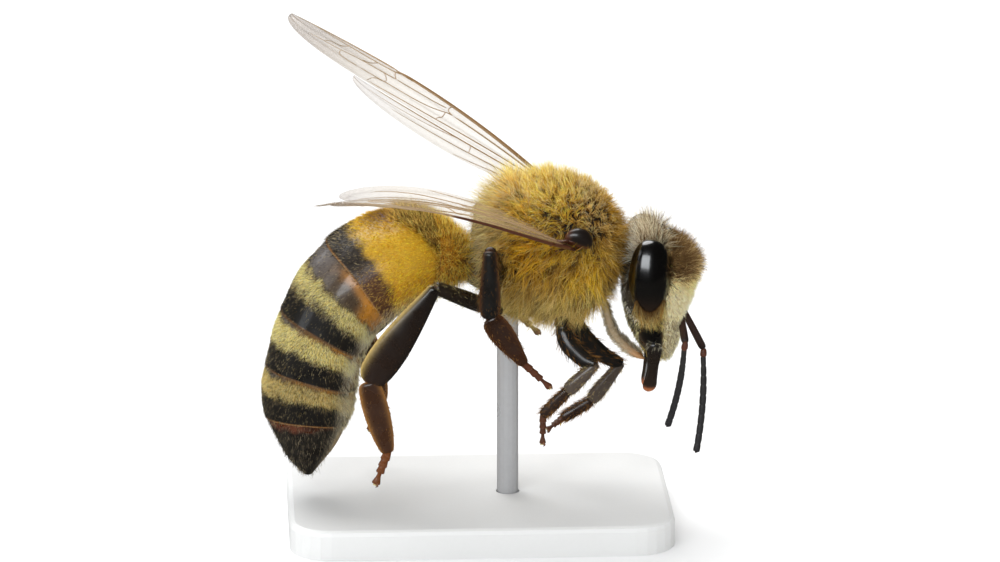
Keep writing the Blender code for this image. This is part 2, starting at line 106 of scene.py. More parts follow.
# the way in which a leg's joints, and its claws, are broad
LEG_BROAD, CLAW_BROAD = (1.0, 0.0, 0.35), (0.9, 0.1, 0.4)


# ---------------------------------------------------------------- tones, as red, green and blue
def tones(*rows):
    return [np.array(row) for row in rows]


STRAW, GOLD, SAND = tones((0.92, 0.64, 0.09), (0.86, 0.47, 0.022), (0.95, 0.80, 0.38))
CREAM, OLIVE, TAN = tones((0.92, 0.84, 0.62), (0.66, 0.54, 0.21), (0.42, 0.27, 0.09))
UMBER, BLACK, HORN = tones((0.040, 0.024, 0.012), (0.006, 0.005, 0.004), (0.36, 0.17, 0.05))
# the thorax's hair
OCHRE, SUNLIT, HAY = tones((0.62, 0.36, 0.045), (1.0, 0.70, 0.12), (0.66, 0.46, 0.13))
BRIGHT_GOLD, DEEP_GOLD, BUFF = tones((1.0, 0.66, 0.03), (1.0, 0.50, 0.006), (0.68, 0.50, 0.25))
DARK_HONEY, HONEY, PALE_STRAW = tones((0.27, 0.14, 0.022), (0.92, 0.50, 0.05), (0.96, 0.82, 0.50))
PEAT, BARK, FUZZ_PALE = tones((0.24, 0.11, 0.02), (0.10, 0.035, 0.008), (0.97, 0.86, 0.56))
# the last lifts the hair tips: paler tips with a painted glow of light through them
ROOT_DARK, ROOT_GOLD, PAINTED_TIP_GLOW = tones((0.040, 0.018, 0.004), (0.62, 0.29, 0.006), (1.33, 1.27, 1.08))
# the abdomen's plates and their hair
TAWNY, AMBER_PALE, AMBER_DEEP = tones((0.56, 0.26, 0.02), (0.60, 0.35, 0.010), (0.46, 0.20, 0.006))
AMBER, SADDLE, BLOT = tones((0.58, 0.31, 0.012), (0.50, 0.24, 0.02), (0.105, 0.036, 0.010))
BAND_BROWN, TIP_RED, BARE_AMBER = tones((0.085, 0.032, 0.010), (0.13, 0.035, 0.014), (0.44, 0.18, 0.018))
# the blue-grey is a painted reflection: the sheen along the back of the middle plates
PAINTED_SHEEN_GREY, BELLY, BELLY_DARK = tones((0.165, 0.152, 0.148), (0.34, 0.22, 0.10), (0.20, 0.12, 0.05))
BELLY_TAN, FELT_DEEP, FELT_PALE = tones((0.40, 0.26, 0.11), (0.78, 0.50, 0.11), (1.0, 0.80, 0.39))
FELT_DUSK, DULL, TAIL_DULL = tones((0.10, 0.065, 0.025), (0.40, 0.32, 0.18), (0.42, 0.34, 0.22))
WAIST_DEEP, WAIST_PALE, WAIST_DARK = tones((0.90, 0.38, 0.02), (1.0, 0.63, 0.14), (0.09, 0.035, 0.010))
BAND_GOLD, BAND_PALE, BLOT_HAIR = tones((0.76, 0.33, 0.004), (1.0, 0.69, 0.06), (0.17, 0.060, 0.014))
TAWNY_DARK, TAWNY_PALE = tones((0.16, 0.06, 0.015), (0.80, 0.48, 0.12))
SADDLE_DARK, SADDLE_PALE = tones((0.05, 0.020, 0.006), (1.0, 0.58, 0.15))
# the head's skin and hair
CHEEK_DARK, FACE_SKIN, FACE_PALE = tones((0.020, 0.015, 0.008), (0.34, 0.26, 0.13), (1.0, 0.86, 0.62))
FACE_CREAM, FACE_GOLD, LIP_GOLD = tones((0.98, 0.82, 0.46), (1.0, 0.73, 0.28), (1.0, 0.80, 0.44))
LIP_PALE, BROW_TAN, BROW_BROWN = tones((1.0, 0.88, 0.62), (0.66, 0.44, 0.20), (0.125, 0.058, 0.026))
CROWN_BROWN, CROWN_FAWN, NAPE_PALE = tones((0.15, 0.08, 0.040), (0.90, 0.74, 0.50), (1.0, 0.94, 0.78))
LASH_DARK, LASH_GOLD, CHEEK_STRAW = tones((0.07, 0.035, 0.012), (0.90, 0.62, 0.20), (0.88, 0.70, 0.36))
CHEEK_DULL, CHEEK_SHADE, SILVER = tones((0.22, 0.14, 0.05), (0.045, 0.032, 0.020), (0.95, 0.88, 0.66))
FRINGE_DEEP, FRINGE_PALE, FRINGE_ROOT = tones((0.60, 0.28, 0.03), (1.0, 0.86, 0.36), (0.10, 0.045, 0.012))
# the brown is a painted reflection in the eye's lower part
EYE_BLACK, EYE_REFLECTED_BROWN = tones((0.0018, 0.0013, 0.001), (0.022, 0.010, 0.004))
# legs, feelers, jaws and tongue
HAIR_BLACK, HAIR_BROWN, HAIR_RUST = tones((0.016, 0.010, 0.006), (0.30, 0.15, 0.05), (0.46, 0.22, 0.06))
CLAW, SPUR_ROOT, SPUR_TIP = tones((0.30, 0.12, 0.05), (0.55, 0.30, 0.06), (0.72, 0.48, 0.14))
STEM_ROOT, STEM_RUST, STEM_PALE = tones((0.10, 0.035, 0.02), (0.09, 0.026, 0.012), (0.13, 0.038, 0.016))
SLATE, SLATE_TIP, JAW_BROWN = tones((0.030, 0.028, 0.027), (0.028, 0.026, 0.029), (0.035, 0.02, 0.012))
JAW_RED, TONGUE_PALE, TONGUE_HORN = tones((0.50, 0.16, 0.055), (0.44, 0.33, 0.20), (0.50, 0.24, 0.09))
TONGUE_HAIR = np.array((0.66, 0.52, 0.34))
# wings and the shells at their roots
VEIN_PALE, VEIN_DARK, VEIN_FAR = tones((0.42, 0.27, 0.14), (0.095, 0.028, 0.012), (0.28, 0.15, 0.05))
VEIN_TIP, FILM_PALE, FILM_TIP = tones((0.54, 0.42, 0.28), (0.50, 0.37, 0.20), (0.36, 0.27, 0.19))
FILM_EDGE, CAP_DARK, CAP_RUST = tones((0.44, 0.24, 0.07), (0.011, 0.006, 0.004), (0.085, 0.022, 0.008))
KNOB_DARK, KNOB_RUST = tones((0.022, 0.007, 0.004), (0.12, 0.032, 0.008))


# ---------------------------------------------------------------- small helpers
def unit(vectors):
    vectors = np.asarray(vectors, float)
    return vectors / np.maximum(np.linalg.norm(vectors, axis=-1, keepdims=True), 1e-9)


def ramp(value, start, end):
    """0 before start, 1 past end, smooth between."""
    share = np.clip((np.asarray(value, float) - start) / (end - start), 0, 1)
    return share * share * (3 - 2 * share)


def hump(value, middle, half):
    return np.exp(-((np.asarray(value, float) - middle) / half) ** 2)


def soft_spot(*parts):
    """1 at a middle and less around it; each part is how far off a place is, and the reach that way."""
    return np.exp(-sum((off / reach) ** 2 for off, reach in parts))


def blend(first, second, share):
    share = np.asarray(share, float)[..., None]
    return np.asarray(first, float) * (1 - share) + np.asarray(second, float) * share


def between(first, second, rng, count):
    """A tone for each hair, anywhere from the first to the second."""
    return blend(first, second, rng.random(count))


def either(first, second, share, rng, count, strength=1.0):
    """The first tone, and for a share of the hairs the second."""
    return blend(first, second, strength * (rng.random(count) < share))


def plain(tone):
    """One tone all over a piece."""
    return lambda spots, share, turn: np.tile(tone, (len(spots), 1))


def everywhere(spots, normals, share, turn):
    return np.ones(len(spots))


def xyz(x, y, z):
    """Places or directions from their three parts; a part may be one number for all."""
    return np.stack(np.broadcast_arrays(x, y, z), axis=1)


def ripple(points, size, seed=0.0):
    """A soft wandering value from -1 to 1 over the place, with lumps of about the given size."""
    x, y, z = (points / size).T
    return (np.sin(1.7 * x + 2.3 * np.sin(1.1 * y + seed) + seed)
            + np.sin(2.1 * y + 1.9 * np.sin(1.3 * z) + 2 * seed)
            + np.sin(1.9 * z + 2.1 * np.sin(0.9 * x + seed))) / 3


def through(rows, steps):
    """Values on a smooth curve through the rows, at steps counted in rows."""
    rows = np.asarray(rows, float)
    steps = np.clip(np.atleast_1d(np.asarray(steps, float)), 0, len(rows) - 1)
    padded = np.vstack((2 * rows[0] - rows[1], rows, 2 * rows[-1] - rows[-2]))
    first = np.clip(steps.astype(int), 0, len(rows) - 2)
    part = (steps - first)[:, None]
    before, start, end, after = (padded[first + k] for k in range(4))
    return 0.5 * (2 * start + (end - before) * part
                  + (2 * before - 5 * start + 4 * end - after) * part ** 2
                  + (3 * start - before - 3 * end + after) * part ** 3)


def placed(name, data):
    item = bpy.data.objects.new(name, data)
    bpy.context.scene.collection.objects.link(item)
    return item


def deselect():
    bpy.ops.object.select_all(action="DESELECT")


def vertices_of(piece):
    spots = np.empty(len(piece.data.vertices) * 3, np.float32)
    piece.data.vertices.foreach_get("co", spots)
    return spots.reshape(-1, 3).astype(float)


def move_vertices(piece, spots):
    piece.data.vertices.foreach_set("co", np.asarray(spots, np.float32).ravel())
    piece.data.update()


def paint(piece, colours):
    """Colour markings, one colour for each vertex."""
    layer = piece.data.color_attributes.new("markings", "FLOAT_COLOR", "POINT")
    rgba = np.ones((len(piece.data.vertices), 4), np.float32)
    rgba[:, :3] = np.clip(colours, 0, 1)
    layer.data.foreach_set("color", rgba.ravel())


def outwards(piece):
    deselect()
    piece.select_set(True)
    bpy.context.view_layer.objects.active = piece
    bpy.ops.object.mode_set(mode="EDIT")
    bpy.ops.mesh.select_all(action="SELECT")
    bpy.ops.mesh.normals_make_consistent(inside=False)
    bpy.ops.object.mode_set(mode="OBJECT")


def pulled_ball(name, sides, rings, form, tone):
    """A ball pulled into a long form: its rings become the cross sections, its poles the ends."""
    deselect()
    bpy.ops.mesh.primitive_uv_sphere_add(segments=sides, ring_count=rings, radius=1.0)
    piece = bpy.context.object
    piece.name = piece.data.name = name
    ball = vertices_of(piece)
    share = np.arccos(np.clip(ball[:, 2], -1, 1)) / math.pi
    turn = np.arctan2(ball[:, 1], ball[:, 0])
    spots = form(share, turn)
    around = np.linspace(-math.pi, math.pi, POLE_SAMPLES, endpoint=False)
    for end in (0.0, 1.0):
        pole = np.abs(share - end) < 1e-4
        spots[pole] = form(np.full(POLE_SAMPLES, end), around).mean(axis=0)
    move_vertices(piece, spots)
    outwards(piece)
    paint(piece, tone(spots, share, turn))
    return piece


def bead(name, sides, rings, middle, radii, tone):
    """A small ball at its place, in one tone."""
    def form(share, turn):
        out = np.sin(share * math.pi)
        return xyz(middle[0] + radii[0] * out * np.cos(turn), middle[1] + radii[1] * out * np.sin(turn),
                   middle[2] + radii[2] * np.cos(share * math.pi))
    return pulled_ball(name, sides, rings, form, plain(tone))


def bent_sheet(name, long_cuts, wide_cuts, form, tone, thick, inward):
    """A flat grid bent over a form and given its wall."""
    deselect()
    bpy.ops.mesh.primitive_grid_add(x_subdivisions=long_cuts, y_subdivisions=wide_cuts, size=2.0)
    piece = bpy.context.object
    piece.name = piece.data.name = name
    flat = vertices_of(piece)
    along, over = (flat[:, 0] + 1) / 2, (flat[:, 1] + 1) / 2
    spots = form(along, over)
    move_vertices(piece, spots)
    paint(piece, tone(spots, along, over))
    wall = piece.modifiers.new("wall", "SOLIDIFY")
    wall.thickness = thick
    wall.offset = inward
    bpy.ops.object.modifier_apply(modifier="wall")
    return piece


def joined(name, pieces):
    deselect()
    for piece in pieces:
        piece.select_set(True)
    bpy.context.view_layer.objects.active = pieces[0]
    if len(pieces) > 1:
        bpy.ops.object.join()
    pieces[0].name = pieces[0].data.name = name
    return pieces[0]


def settle(piece, look, slot, *nodes):
    """Brings a piece from its own millimetres into the frame and gives it its finish."""
    piece.data.transform(Matrix.Translation(Vector(HOME * MM)) @ Matrix.Scale(MM, 4))
    piece.data.materials.clear()
    piece.data.materials.append(look)
    piece.data.shade_smooth()
    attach(piece, "root")
    if nodes:
        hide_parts(*nodes)
    return piece


# ---------------------------------------------------------------- finishes
def feed(tree, item, **inputs):
    """Gives a node's inputs values or links; _1 is input 1, and a _ within a name is a blank."""
    for name, value in inputs.items():
        socket = item.inputs[int(name[1:]) if name[0] == "_" else name.replace("_", " ")]
        if isinstance(value, bpy.types.NodeSocket):
            tree.links.new(value, socket)
        else:
            socket.default_value = value
    return item


def shader_node(tree, kind, operation=None, **inputs):
    item = tree.nodes.new("ShaderNode" + kind)
    if operation:
        item.operation = operation
    return feed(tree, item, **inputs)


def relief(look, height, strength, depth, sunk=False):
    """Raises a finish by a pattern, or sinks it."""
    tree = look.node_tree
    bump = shader_node(tree, "Bump", Height=height, Strength=strength, Distance=depth)
    bump.invert = sunk
    feed(tree, tree.nodes["Principled BSDF"], Normal=bump.outputs["Normal"])


def mottle_group():
    """Lets a colour wander in light and dark, and gives the grain that goes with it."""
    tree = bpy.data.node_groups.new("mottle", "ShaderNodeTree")
    for name, kind, way, value in (
            ("Colour", "Color", "INPUT", None), ("Coarse", "Float", "INPUT", 2000.0),
            ("Fine", "Float", "INPUT", 12000.0), ("Depth", "Float", "INPUT", 0.3),
            ("Colour", "Color", "OUTPUT", None), ("Mask", "Float", "OUTPUT", None),
            ("Height", "Float", "OUTPUT", None)):
        socket = tree.interface.new_socket(name=name, in_out=way, socket_type="NodeSocket" + kind)
        if value is not None:
            socket.default_value = value
    inside = tree.nodes.new("NodeGroupInput").outputs
    place = shader_node(tree, "TexCoord").outputs["Object"]
    coarse, fine = (
        shader_node(tree, "TexNoise", Vector=place, Scale=inside[size], Detail=detail).outputs["Fac"]
        for size, detail in (("Coarse", 4.0), ("Fine", 2.0)))
    both = shader_node(tree, "Math", "ADD", _0=coarse, _1=fine).outputs[0]
    centred = shader_node(tree, "Math", "SUBTRACT", _0=both, _1=1.0).outputs[0]
    shift = shader_node(tree, "Math", "MULTIPLY", _0=centred, _1=inside["Depth"]).outputs[0]
    factor = shader_node(tree, "Math", "ADD", _0=shift, _1=1.0).outputs[0]
    shade = shader_node(tree, "VectorMath", "SCALE", _0=inside["Colour"], Scale=factor)
    outside = tree.nodes.new("NodeGroupOutput")
    feed(tree, outside, Colour=shade.outputs["Vector"], Mask=coarse, Height=fine)
    return tree


MOTTLE = mottle_group()
GRAIN_DEPTH = 0.00001


def finish(name, roughness, depth=0.35, coarse=2000.0, fine=14000.0, bump=0.15, colour=None,
           rough_swing=0.12, **shader_values):
    """A shell, fur or skin finish: the painted markings, broken up by mottling, with a fine grain."""
    look = bpy.data.materials.new(name)
    look.use_nodes = True
    tree = look.node_tree
    if colour is None:
        marks = shader_node(tree, "Attribute")
        marks.attribute_name = "markings"
        colour = marks.outputs["Color"]
    else:
        colour = (*colour, 1.0)
    mottle = tree.nodes.new("ShaderNodeGroup")
    mottle.node_tree = MOTTLE
    feed(tree, mottle, Colour=colour, Coarse=coarse, Fine=fine, Depth=depth)
    swing = shader_node(tree, "MapRange", Value=mottle.outputs["Mask"], From_Min=0.3, From_Max=0.7,
                        To_Min=max(roughness - rough_swing, 0.02),
                        To_Max=min(roughness + rough_swing, 1.0))
    feed(tree, tree.nodes["Principled BSDF"], Base_Color=mottle.outputs["Colour"],
         Roughness=swing.outputs["Result"], **shader_values)
    if bump:
        relief(look, mottle.outputs["Height"], bump, GRAIN_DEPTH)
    return look


def eye_finish():
    """Near black glass over the fine honeycomb of the facets."""
    look = finish("eye_black", 0.20, depth=0.5, coarse=1500.0, bump=0, rough_swing=0.03,
                  Coat_Weight=1.0, Coat_Roughness=0.11, IOR=1.5, Specular_IOR_Level=0.8)
    tree = look.node_tree
    place = shader_node(tree, "TexCoord").outputs["Object"]
    facets = shader_node(tree, "TexVoronoi", Vector=place, Scale=36000.0, Randomness=0.35)
    relief(look, facets.outputs["Distance"], 0.12, 0.000004, sunk=True)
    return look


def membrane_finish():
    """Clear, faintly smoky wing film: its film attribute says how much of it shows."""
    look = finish("wing_film", 0.28, coarse=900.0, fine=9000.0, bump=0.35, rough_swing=0.1, IOR=1.5)
    tree = look.node_tree
    film = shader_node(tree, "Attribute")
    film.attribute_name = "film"
    facing = shader_node(tree, "LayerWeight", Blend=0.35).outputs["Facing"]
    edge = shader_node(tree, "Math", "MULTIPLY_ADD", _0=facing, _1=0.30, _2=film.outputs["Fac"])
    edge.use_clamp = True
    feed(tree, tree.nodes["Principled BSDF"], Alpha=edge.outputs[0])
    return look


def dim_in_reflections(look):
    """Keeps a pale surface from greying the blacks that mirror it."""
    tree = look.node_tree
    dark = shader_node(tree, "BsdfDiffuse", Color=(0.035, 0.033, 0.03, 1.0)).outputs[0]
    dim = shader_node(tree, "MixShader", Fac=shader_node(tree, "LightPath").outputs["Is Glossy Ray"],
                      _1=tree.nodes["Principled BSDF"].outputs[0], _2=dark)
    feed(tree, tree.nodes["Material Output"], Surface=dim.outputs[0])
    return look


def steel_finish():
    """Brushed steel: the grain runs along the rod."""
    look = finish("stand_rod_steel", 0.30, depth=0.10, coarse=500.0, fine=9000.0, bump=0,
                  colour=(0.66, 0.66, 0.67), rough_swing=0.06, Metallic=0.35)
    tree = look.node_tree
    place = shader_node(tree, "TexCoord").outputs["Object"]
    spread = shader_node(tree, "Mapping", Vector=place, Scale=(1.0, 1.0, 0.05)).outputs["Vector"]
    lines = shader_node(tree, "TexNoise", Vector=spread, Scale=5000.0)
    relief(look, lines.outputs["Fac"], 0.2, 0.00002)
    return look


FUR = finish("coat_hair", 0.62, depth=0.25, coarse=1200.0, fine=9000.0, bump=0, Specular_IOR_Level=0.10)
SKIN = finish("body_skin", 0.5, depth=0.4, bump=0.3, Specular_IOR_Level=0.4)
SHELL = finish("shell_gloss", 0.34, bump=0.30, Coat_Weight=0.6, Coat_Roughness=0.10)
SATIN = finish("shell_satin", 0.48, depth=0.45, coarse=1500.0, bump=0.32, Coat_Weight=0.22,
               Coat_Roughness=0.12)
LEG_SHELL = finish("leg_gloss", 0.30, depth=0.45, bump=0.13, Coat_Weight=0.35, Coat_Roughness=0.13)
FEELER = finish("feeler_matt", 0.48, depth=0.3, coarse=3000.0, fine=26000.0, bump=0.3)
TONGUE_LOOK = finish("tongue_soft", 0.5, depth=0.3, bump=0.3)
VEIN = finish("vein_horn", 0.38, depth=0.3, bump=0.2, Coat_Weight=0.2)
EYE = eye_finish()
FILM = membrane_finish()
BOARD = dim_in_reflections(finish("stand_satin", 0.5, depth=0.03, coarse=300.0, fine=9000.0,
                                  colour=(0.80, 0.80, 0.79)))
STEEL = steel_finish()


# ---------------------------------------------------------------- coat
COAT_LIMIT = 190000         # triangles in one piece of hair
RING_STEPS = (0.0, 0.5)     # where a tuft's rings stand on its length
UNWRAP_PATCH, UNWRAP_MARGIN = 0.003, 0.004


def normals_and_area(form, share, turn):
    step = 1e-3
    here = form(share, turn)
    long_way = form(np.minimum(share + step, 1), turn) - form(np.maximum(share - step, 0), turn)
    round_way = form(share, turn + step) - form(share, turn - step)
    across = np.cross(round_way, long_way)
    axis = (form(share, np.zeros_like(turn)) + form(share, np.full_like(turn, math.pi))) / 2
    flip = np.sign(np.sum(across * (here - axis), axis=1))[:, None]
    flip[flip == 0] = 1
    return here, unit(across) * flip, np.linalg.norm(across, axis=1)


def scatter(form, count, density, rng, turns=(-math.pi, math.pi)):
    """Roots strewn evenly over a form, thinned where the density says."""
    share = rng.random(count * 5)
    turn = rng.uniform(*turns, count * 5)
    here, normal, area = normals_and_area(form, share, turn)
    chance = area * np.clip(density(here, normal, share, turn), 0, None)
    count = min(count, int((chance > 0).sum()))
    pick = rng.choice(len(share), count, replace=False, p=chance / chance.sum())
    return here[pick], normal[pick], share[pick], turn[pick]


def nearest_leaders(roots, every):
    """The root that leads each root's lock."""
    leaders = np.arange(0, len(roots), every)
    tree = kdtree.KDTree(len(leaders))
    for k in leaders:
        tree.insert(roots[k], int(k))
    tree.balance()
    return np.array([tree.find(root)[1] for root in roots])


def tuft_mesh(name, roots, starts, tips, widths, tones, tip_tones, places, rings):
    """Thin bent three-sided tufts in one mesh, each with its patch on the unwrap of the skin."""
    count = len(roots)
    steps = np.array(RING_STEPS[:rings])
    side = unit(np.cross(tips - roots, starts + np.array((0.13, 0.31, 0.07)) * widths[:, None]))
    over = unit(np.cross(side, tips - roots))
    per = rings * 3 + 1
    spots = np.empty((count, per, 3))
    for k, step in enumerate(steps):
        middle = roots + starts * step + (tips - roots - starts) * step ** 2
        half = (widths * (1 - step) ** 0.6 / 2)[:, None]
        for corner in range(3):
            angle = corner * 2 * math.pi / 3
            spots[:, k * 3 + corner] = middle + (side * math.cos(angle) + over * math.sin(angle)) * half
    spots[:, -1] = tips
    faces = [(2, 1, 0)]
    for k in range(0, (rings - 1) * 3, 3):
        faces += [(k + corner, k + following, k + 3 + following, k + 3 + corner)
                  for corner, following in ((0, 1), (1, 2), (2, 0))]
    top = (rings - 1) * 3
    faces += [(top, top + 1, per - 1), (top + 1, top + 2, per - 1), (top + 2, top, per - 1)]
    loops = np.array([corner for face in faces for corner in face])
    face_starts = np.cumsum([0] + [len(face) for face in faces[:-1]])
    mesh = bpy.data.meshes.new(name)
    mesh.vertices.add(count * per)
    mesh.vertices.foreach_set("co", spots.astype(np.float32).ravel())
    every = (loops[None, :] + np.arange(count)[:, None] * per).ravel()
    mesh.loops.add(len(every))
    mesh.loops.foreach_set("vertex_index", every.astype(np.int32))
    mesh.polygons.add(count * len(faces))
    begin = (face_starts[None, :] + np.arange(count)[:, None] * len(loops)).ravel()
    mesh.polygons.foreach_set("loop_start", begin.astype(np.int32))
    mesh.update(calc_edges=True)
    rise = np.append(np.repeat(steps, 3), 1.0)
    late = (rise ** 1.4)[None, :, None]
    piece = placed(name, mesh)
    paint(piece, (tones[:, None, :] * (1 - late) + tip_tones[:, None, :] * late).reshape(-1, 3))
    around = np.append(np.tile((0.0, 0.5, 1.0), rings), 0.5)
    patch = np.stack((around - 0.5, rise - 0.5), axis=1) * UNWRAP_PATCH
    flat = places[:, None, :] + patch[None, :, :]
    unwrap = mesh.uv_layers.new(name="OFBake")
    unwrap.data.foreach_set("uv", flat.reshape(-1, 2)[every].astype(np.float32).ravel())
    return piece


def coat(name, form, count, density, recipe, seed, slot="body_fur", rings=1, every=4, pull=0.2,
         turns=(-math.pi, math.pi), spot=None):
    """Grows a coat over a form. The recipe gives each root its length, width, lie, stand and colours."""
    rng = np.random.default_rng(seed)
    roots, normals, share, turn = scatter(form, count, density, rng, turns)
    made = recipe(roots, normals, share, turn, rng)
    near = nearest_leaders(roots, every)
    length = np.asarray(made["length"]) * rng.uniform(0.65, 1.15, len(roots))
    lie = unit(made["lie"] - normals * np.sum(made["lie"] * normals, axis=1)[:, None])
    stand = np.asarray(made["stand"]) * np.ones(len(roots))
    stray = rng.normal(0, 1, (len(roots), 3)) * made["stray"]
    stray = stray * 0.75 + stray[near] * made.get("lock", 0.65)
    start = unit(normals * (stand + 0.25)[:, None] + lie * (1 - stand)[:, None] + stray * 0.7)
    end = unit(normals * (stand * 0.75)[:, None] + lie * (1.15 - stand)[:, None] + stray * 1.4)
    roots = roots - normals * made.get("sink", 0.03)
    tips = roots + (start * 0.5 + end * 0.5) * length[:, None]
    aim = roots[near] + (tips[near] - roots[near]) * (length / length[near])[:, None]
    tips = tips + (aim - tips) * pull
    width = np.asarray(made["width"]) * rng.uniform(0.75, 1.2, len(roots))
    swing = rng.uniform(0.82, 1.14, len(roots)) * rng.uniform(0.80, 1.18, len(roots))[near]
    tone, tip = made["tone"] * swing[:, None], made["tip"] * swing[:, None]
    if spot is None:
        places = np.stack((turn / (2 * math.pi) + 0.5, share), axis=1)
    else:
        places = spot(share, turn)
    places = UNWRAP_MARGIN + np.mod(places, 1.0001) * (1 - 2 * UNWRAP_MARGIN)
    most = COAT_LIMIT // (6 * rings - 2)
    order = np.argsort(roots[:, 0]) if len(roots) > most else np.arange(len(roots))
    for k in range(0, len(roots), most):
        part = order[k:k + most]
        label = name if len(roots) <= most else name + "_" + str(k // most + 1)
        piece = tuft_mesh(label, roots[part], start[part] * length[part][:, None], tips[part],
                          width[part], tone[part], tip[part], places[part], rings)
        settle(piece, FUR, slot)


# ---------------------------------------------------------------- thorax
THORAX_FILL = 0.80      # the skin's share of the form out to the hair tips


def thorax_form(share, turn):
    x, z, half_height, half_width = through(THORAX, share * (len(THORAX) - 1)).T
    dorsal, side = np.clip(np.cos(turn), 0, 1) ** 2, np.abs(np.sin(turn)) ** 2
    swell = (1 + 0.05 * hump(x, -1.30, 0.28) * dorsal - 0.05 * hump(x, -0.80, 0.12) * dorsal
             - 0.035 * hump(x, 1.05, 0.10) * side - 0.035 * hump(x, -0.55, 0.12) * side
             - 0.02 * hump(turn, 0, 0.05) * ramp(x, -0.6, 0.0))
    return xyz(x * (THORAX_FILL + 0.01), np.sin(turn) * half_width * THORAX_FILL * swell,
               z + np.cos(turn) * half_height * THORAX_FILL * swell)


def thorax_skin_tone(spots, share, turn):
    return blend(UMBER * 0.5, TAN * 0.25, ramp(ripple(spots, 0.5, 1.0), -0.2, 0.9))


def thorax_density(spots, normals, share, turn):
    x, y, z = spots.T
    cap_x, cap_y, cap_z = CAP_AT
    near_cap = np.minimum(np.abs(y - cap_y), np.abs(y + cap_y))
    cap = soft_spot((x - cap_x + 0.04, 0.30), (z - cap_z + 0.02, 0.22), (near_cap, 0.6))
    bare = hump(x, -1.75, 0.22) * (z < -0.2)
    thin = 0.20 * ramp(x, 0.5, 1.1) * ramp(normals[:, 2], 0.0, 0.5)
    worn = 0.30 * ramp(ripple(spots, 0.26, 8.0), 0.0, 0.6)
    return 1.0 - 0.75 * bare - 1.1 * cap - thin - worn + 0.3 * (z > 1.2)


def thorax_recipe(spots, normals, share, turn, rng):
    x, y, z = spots.T
    up = np.clip(normals[:, 2], -1, 1)
    crown = ramp(up, 0.30, 0.85)
    front_top = ramp(up, 0.0, 0.6) * ramp(x, 0.2, 1.0)
    rear_top = crown * ramp(-x, 0.4, 1.0)
    rear = ramp(-x, 1.0, 1.5)
    flank = 1 - ramp(up, -0.1, 0.3)
    low = ramp(-z, 0.30, 1.0)
    scutellum = ramp(-x, 0.6, 1.1) * ramp(z, 0.7, 1.15)
    length = (0.60 - 0.22 * front_top + 0.14 * rear_top + 0.26 * flank + 0.16 * rear
              + 0.22 * scutellum - 0.34 * ramp(x, 1.05, 1.6) * flank)
    lie = REAR * 0.8 + DOWN * (1.1 * (1 - crown))[:, None]
    lie = lie + xyz(0.9 - 0.4 * flank, 0.0, 0.3 - 0.3 * flank) * ramp(x, 1.0, 1.8)[:, None]
    # the locks of the flank fan out from under the wing
    fan = xyz(x - CAP_AT[0], 0.0, z - CAP_AT[2] - 0.2)
    lie = lie + unit(fan) * (0.9 * flank * ramp(-z, -0.9, 0.2))[:, None]
    stand = 0.38 + 0.36 * crown + 0.10 * ramp(x, 1.0, 1.7) - 0.10 * flank + 0.22 * scutellum * (1 - crown)
    patch, small = ripple(spots, 0.45, 3.0), ripple(spots, 0.15, 6.0)
    # Under the wing the hair is deep gold, and it is painted brighter, with golden roots, as a painted
    # glow of light through it where the wing casts shade.
    glow = soft_spot((x + 0.62, 0.60), (z - 0.32, 0.44))
    bright = soft_spot((x - 0.92, 0.45), (z + 0.24, 0.40))
    tone = blend(OCHRE, GOLD, ramp(up + 0.6 * patch, -0.6, 0.8))
    for other, amount in (
            (SUNLIT, 0.8 * crown * (1 - front_top)),
            (HAY, 0.7 * low),
            (BRIGHT_GOLD, 0.9 * bright * (1 - crown)),
            (DEEP_GOLD, 0.9 * glow * (1 - crown)),
            (BUFF, 0.85 * front_top * ramp(patch, -0.9, 0.2)),
            (DARK_HONEY, 0.85 * ramp(x, 1.0, 1.5) * (1 - front_top) * (1 - crown)),
            (HONEY, 0.8 * rear_top * ramp(patch, -0.3, 0.4)),
            (PALE_STRAW, 0.55 * rear)):
        tone = blend(tone, other, amount)
    glow = np.clip(glow + bright, 0, 1) * (1 - crown)
    pick = rng.random(len(x))
    tone = blend(tone, SAND, 0.5 * (pick < 0.14))
    tone = blend(tone, PEAT, 0.75 * (pick > 0.80))
    gap = hump(x, 0.05, 0.16) * hump(z, 0.02, 0.16) + hump(x, -0.42, 0.20) * hump(z, -0.42, 0.14)
    tone = blend(tone, BARK, 0.8 * np.clip(gap, 0, 1) * flank)
    sandy = 0.06 + 0.30 * rear_top + 0.22 * ramp(z, 1.2, 1.6) + 0.20 * low * (1 - glow)
    tip = blend(tone * 1.1, SAND, sandy)
    root = blend(ROOT_DARK, ROOT_GOLD, np.clip(
        0.95 * glow + 0.35 * rear_top + 0.75 * crown * (1 - front_top) + 0.45 * front_top
        + 0.40 * ramp(small, 0.0, 0.6), 0, 1))
    # Tips are paler than roots, and painted brighter still as a glow of light shining through them; on
    # the crown a little more, as painted top light.
    return {"length": length, "width": 0.0175, "lie": lie, "stand": stand, "tone": root,
            "tip": tip * PAINTED_TIP_GLOW * (1 + 0.08 * crown)[:, None], "stray": 0.36, "lock": 0.75}


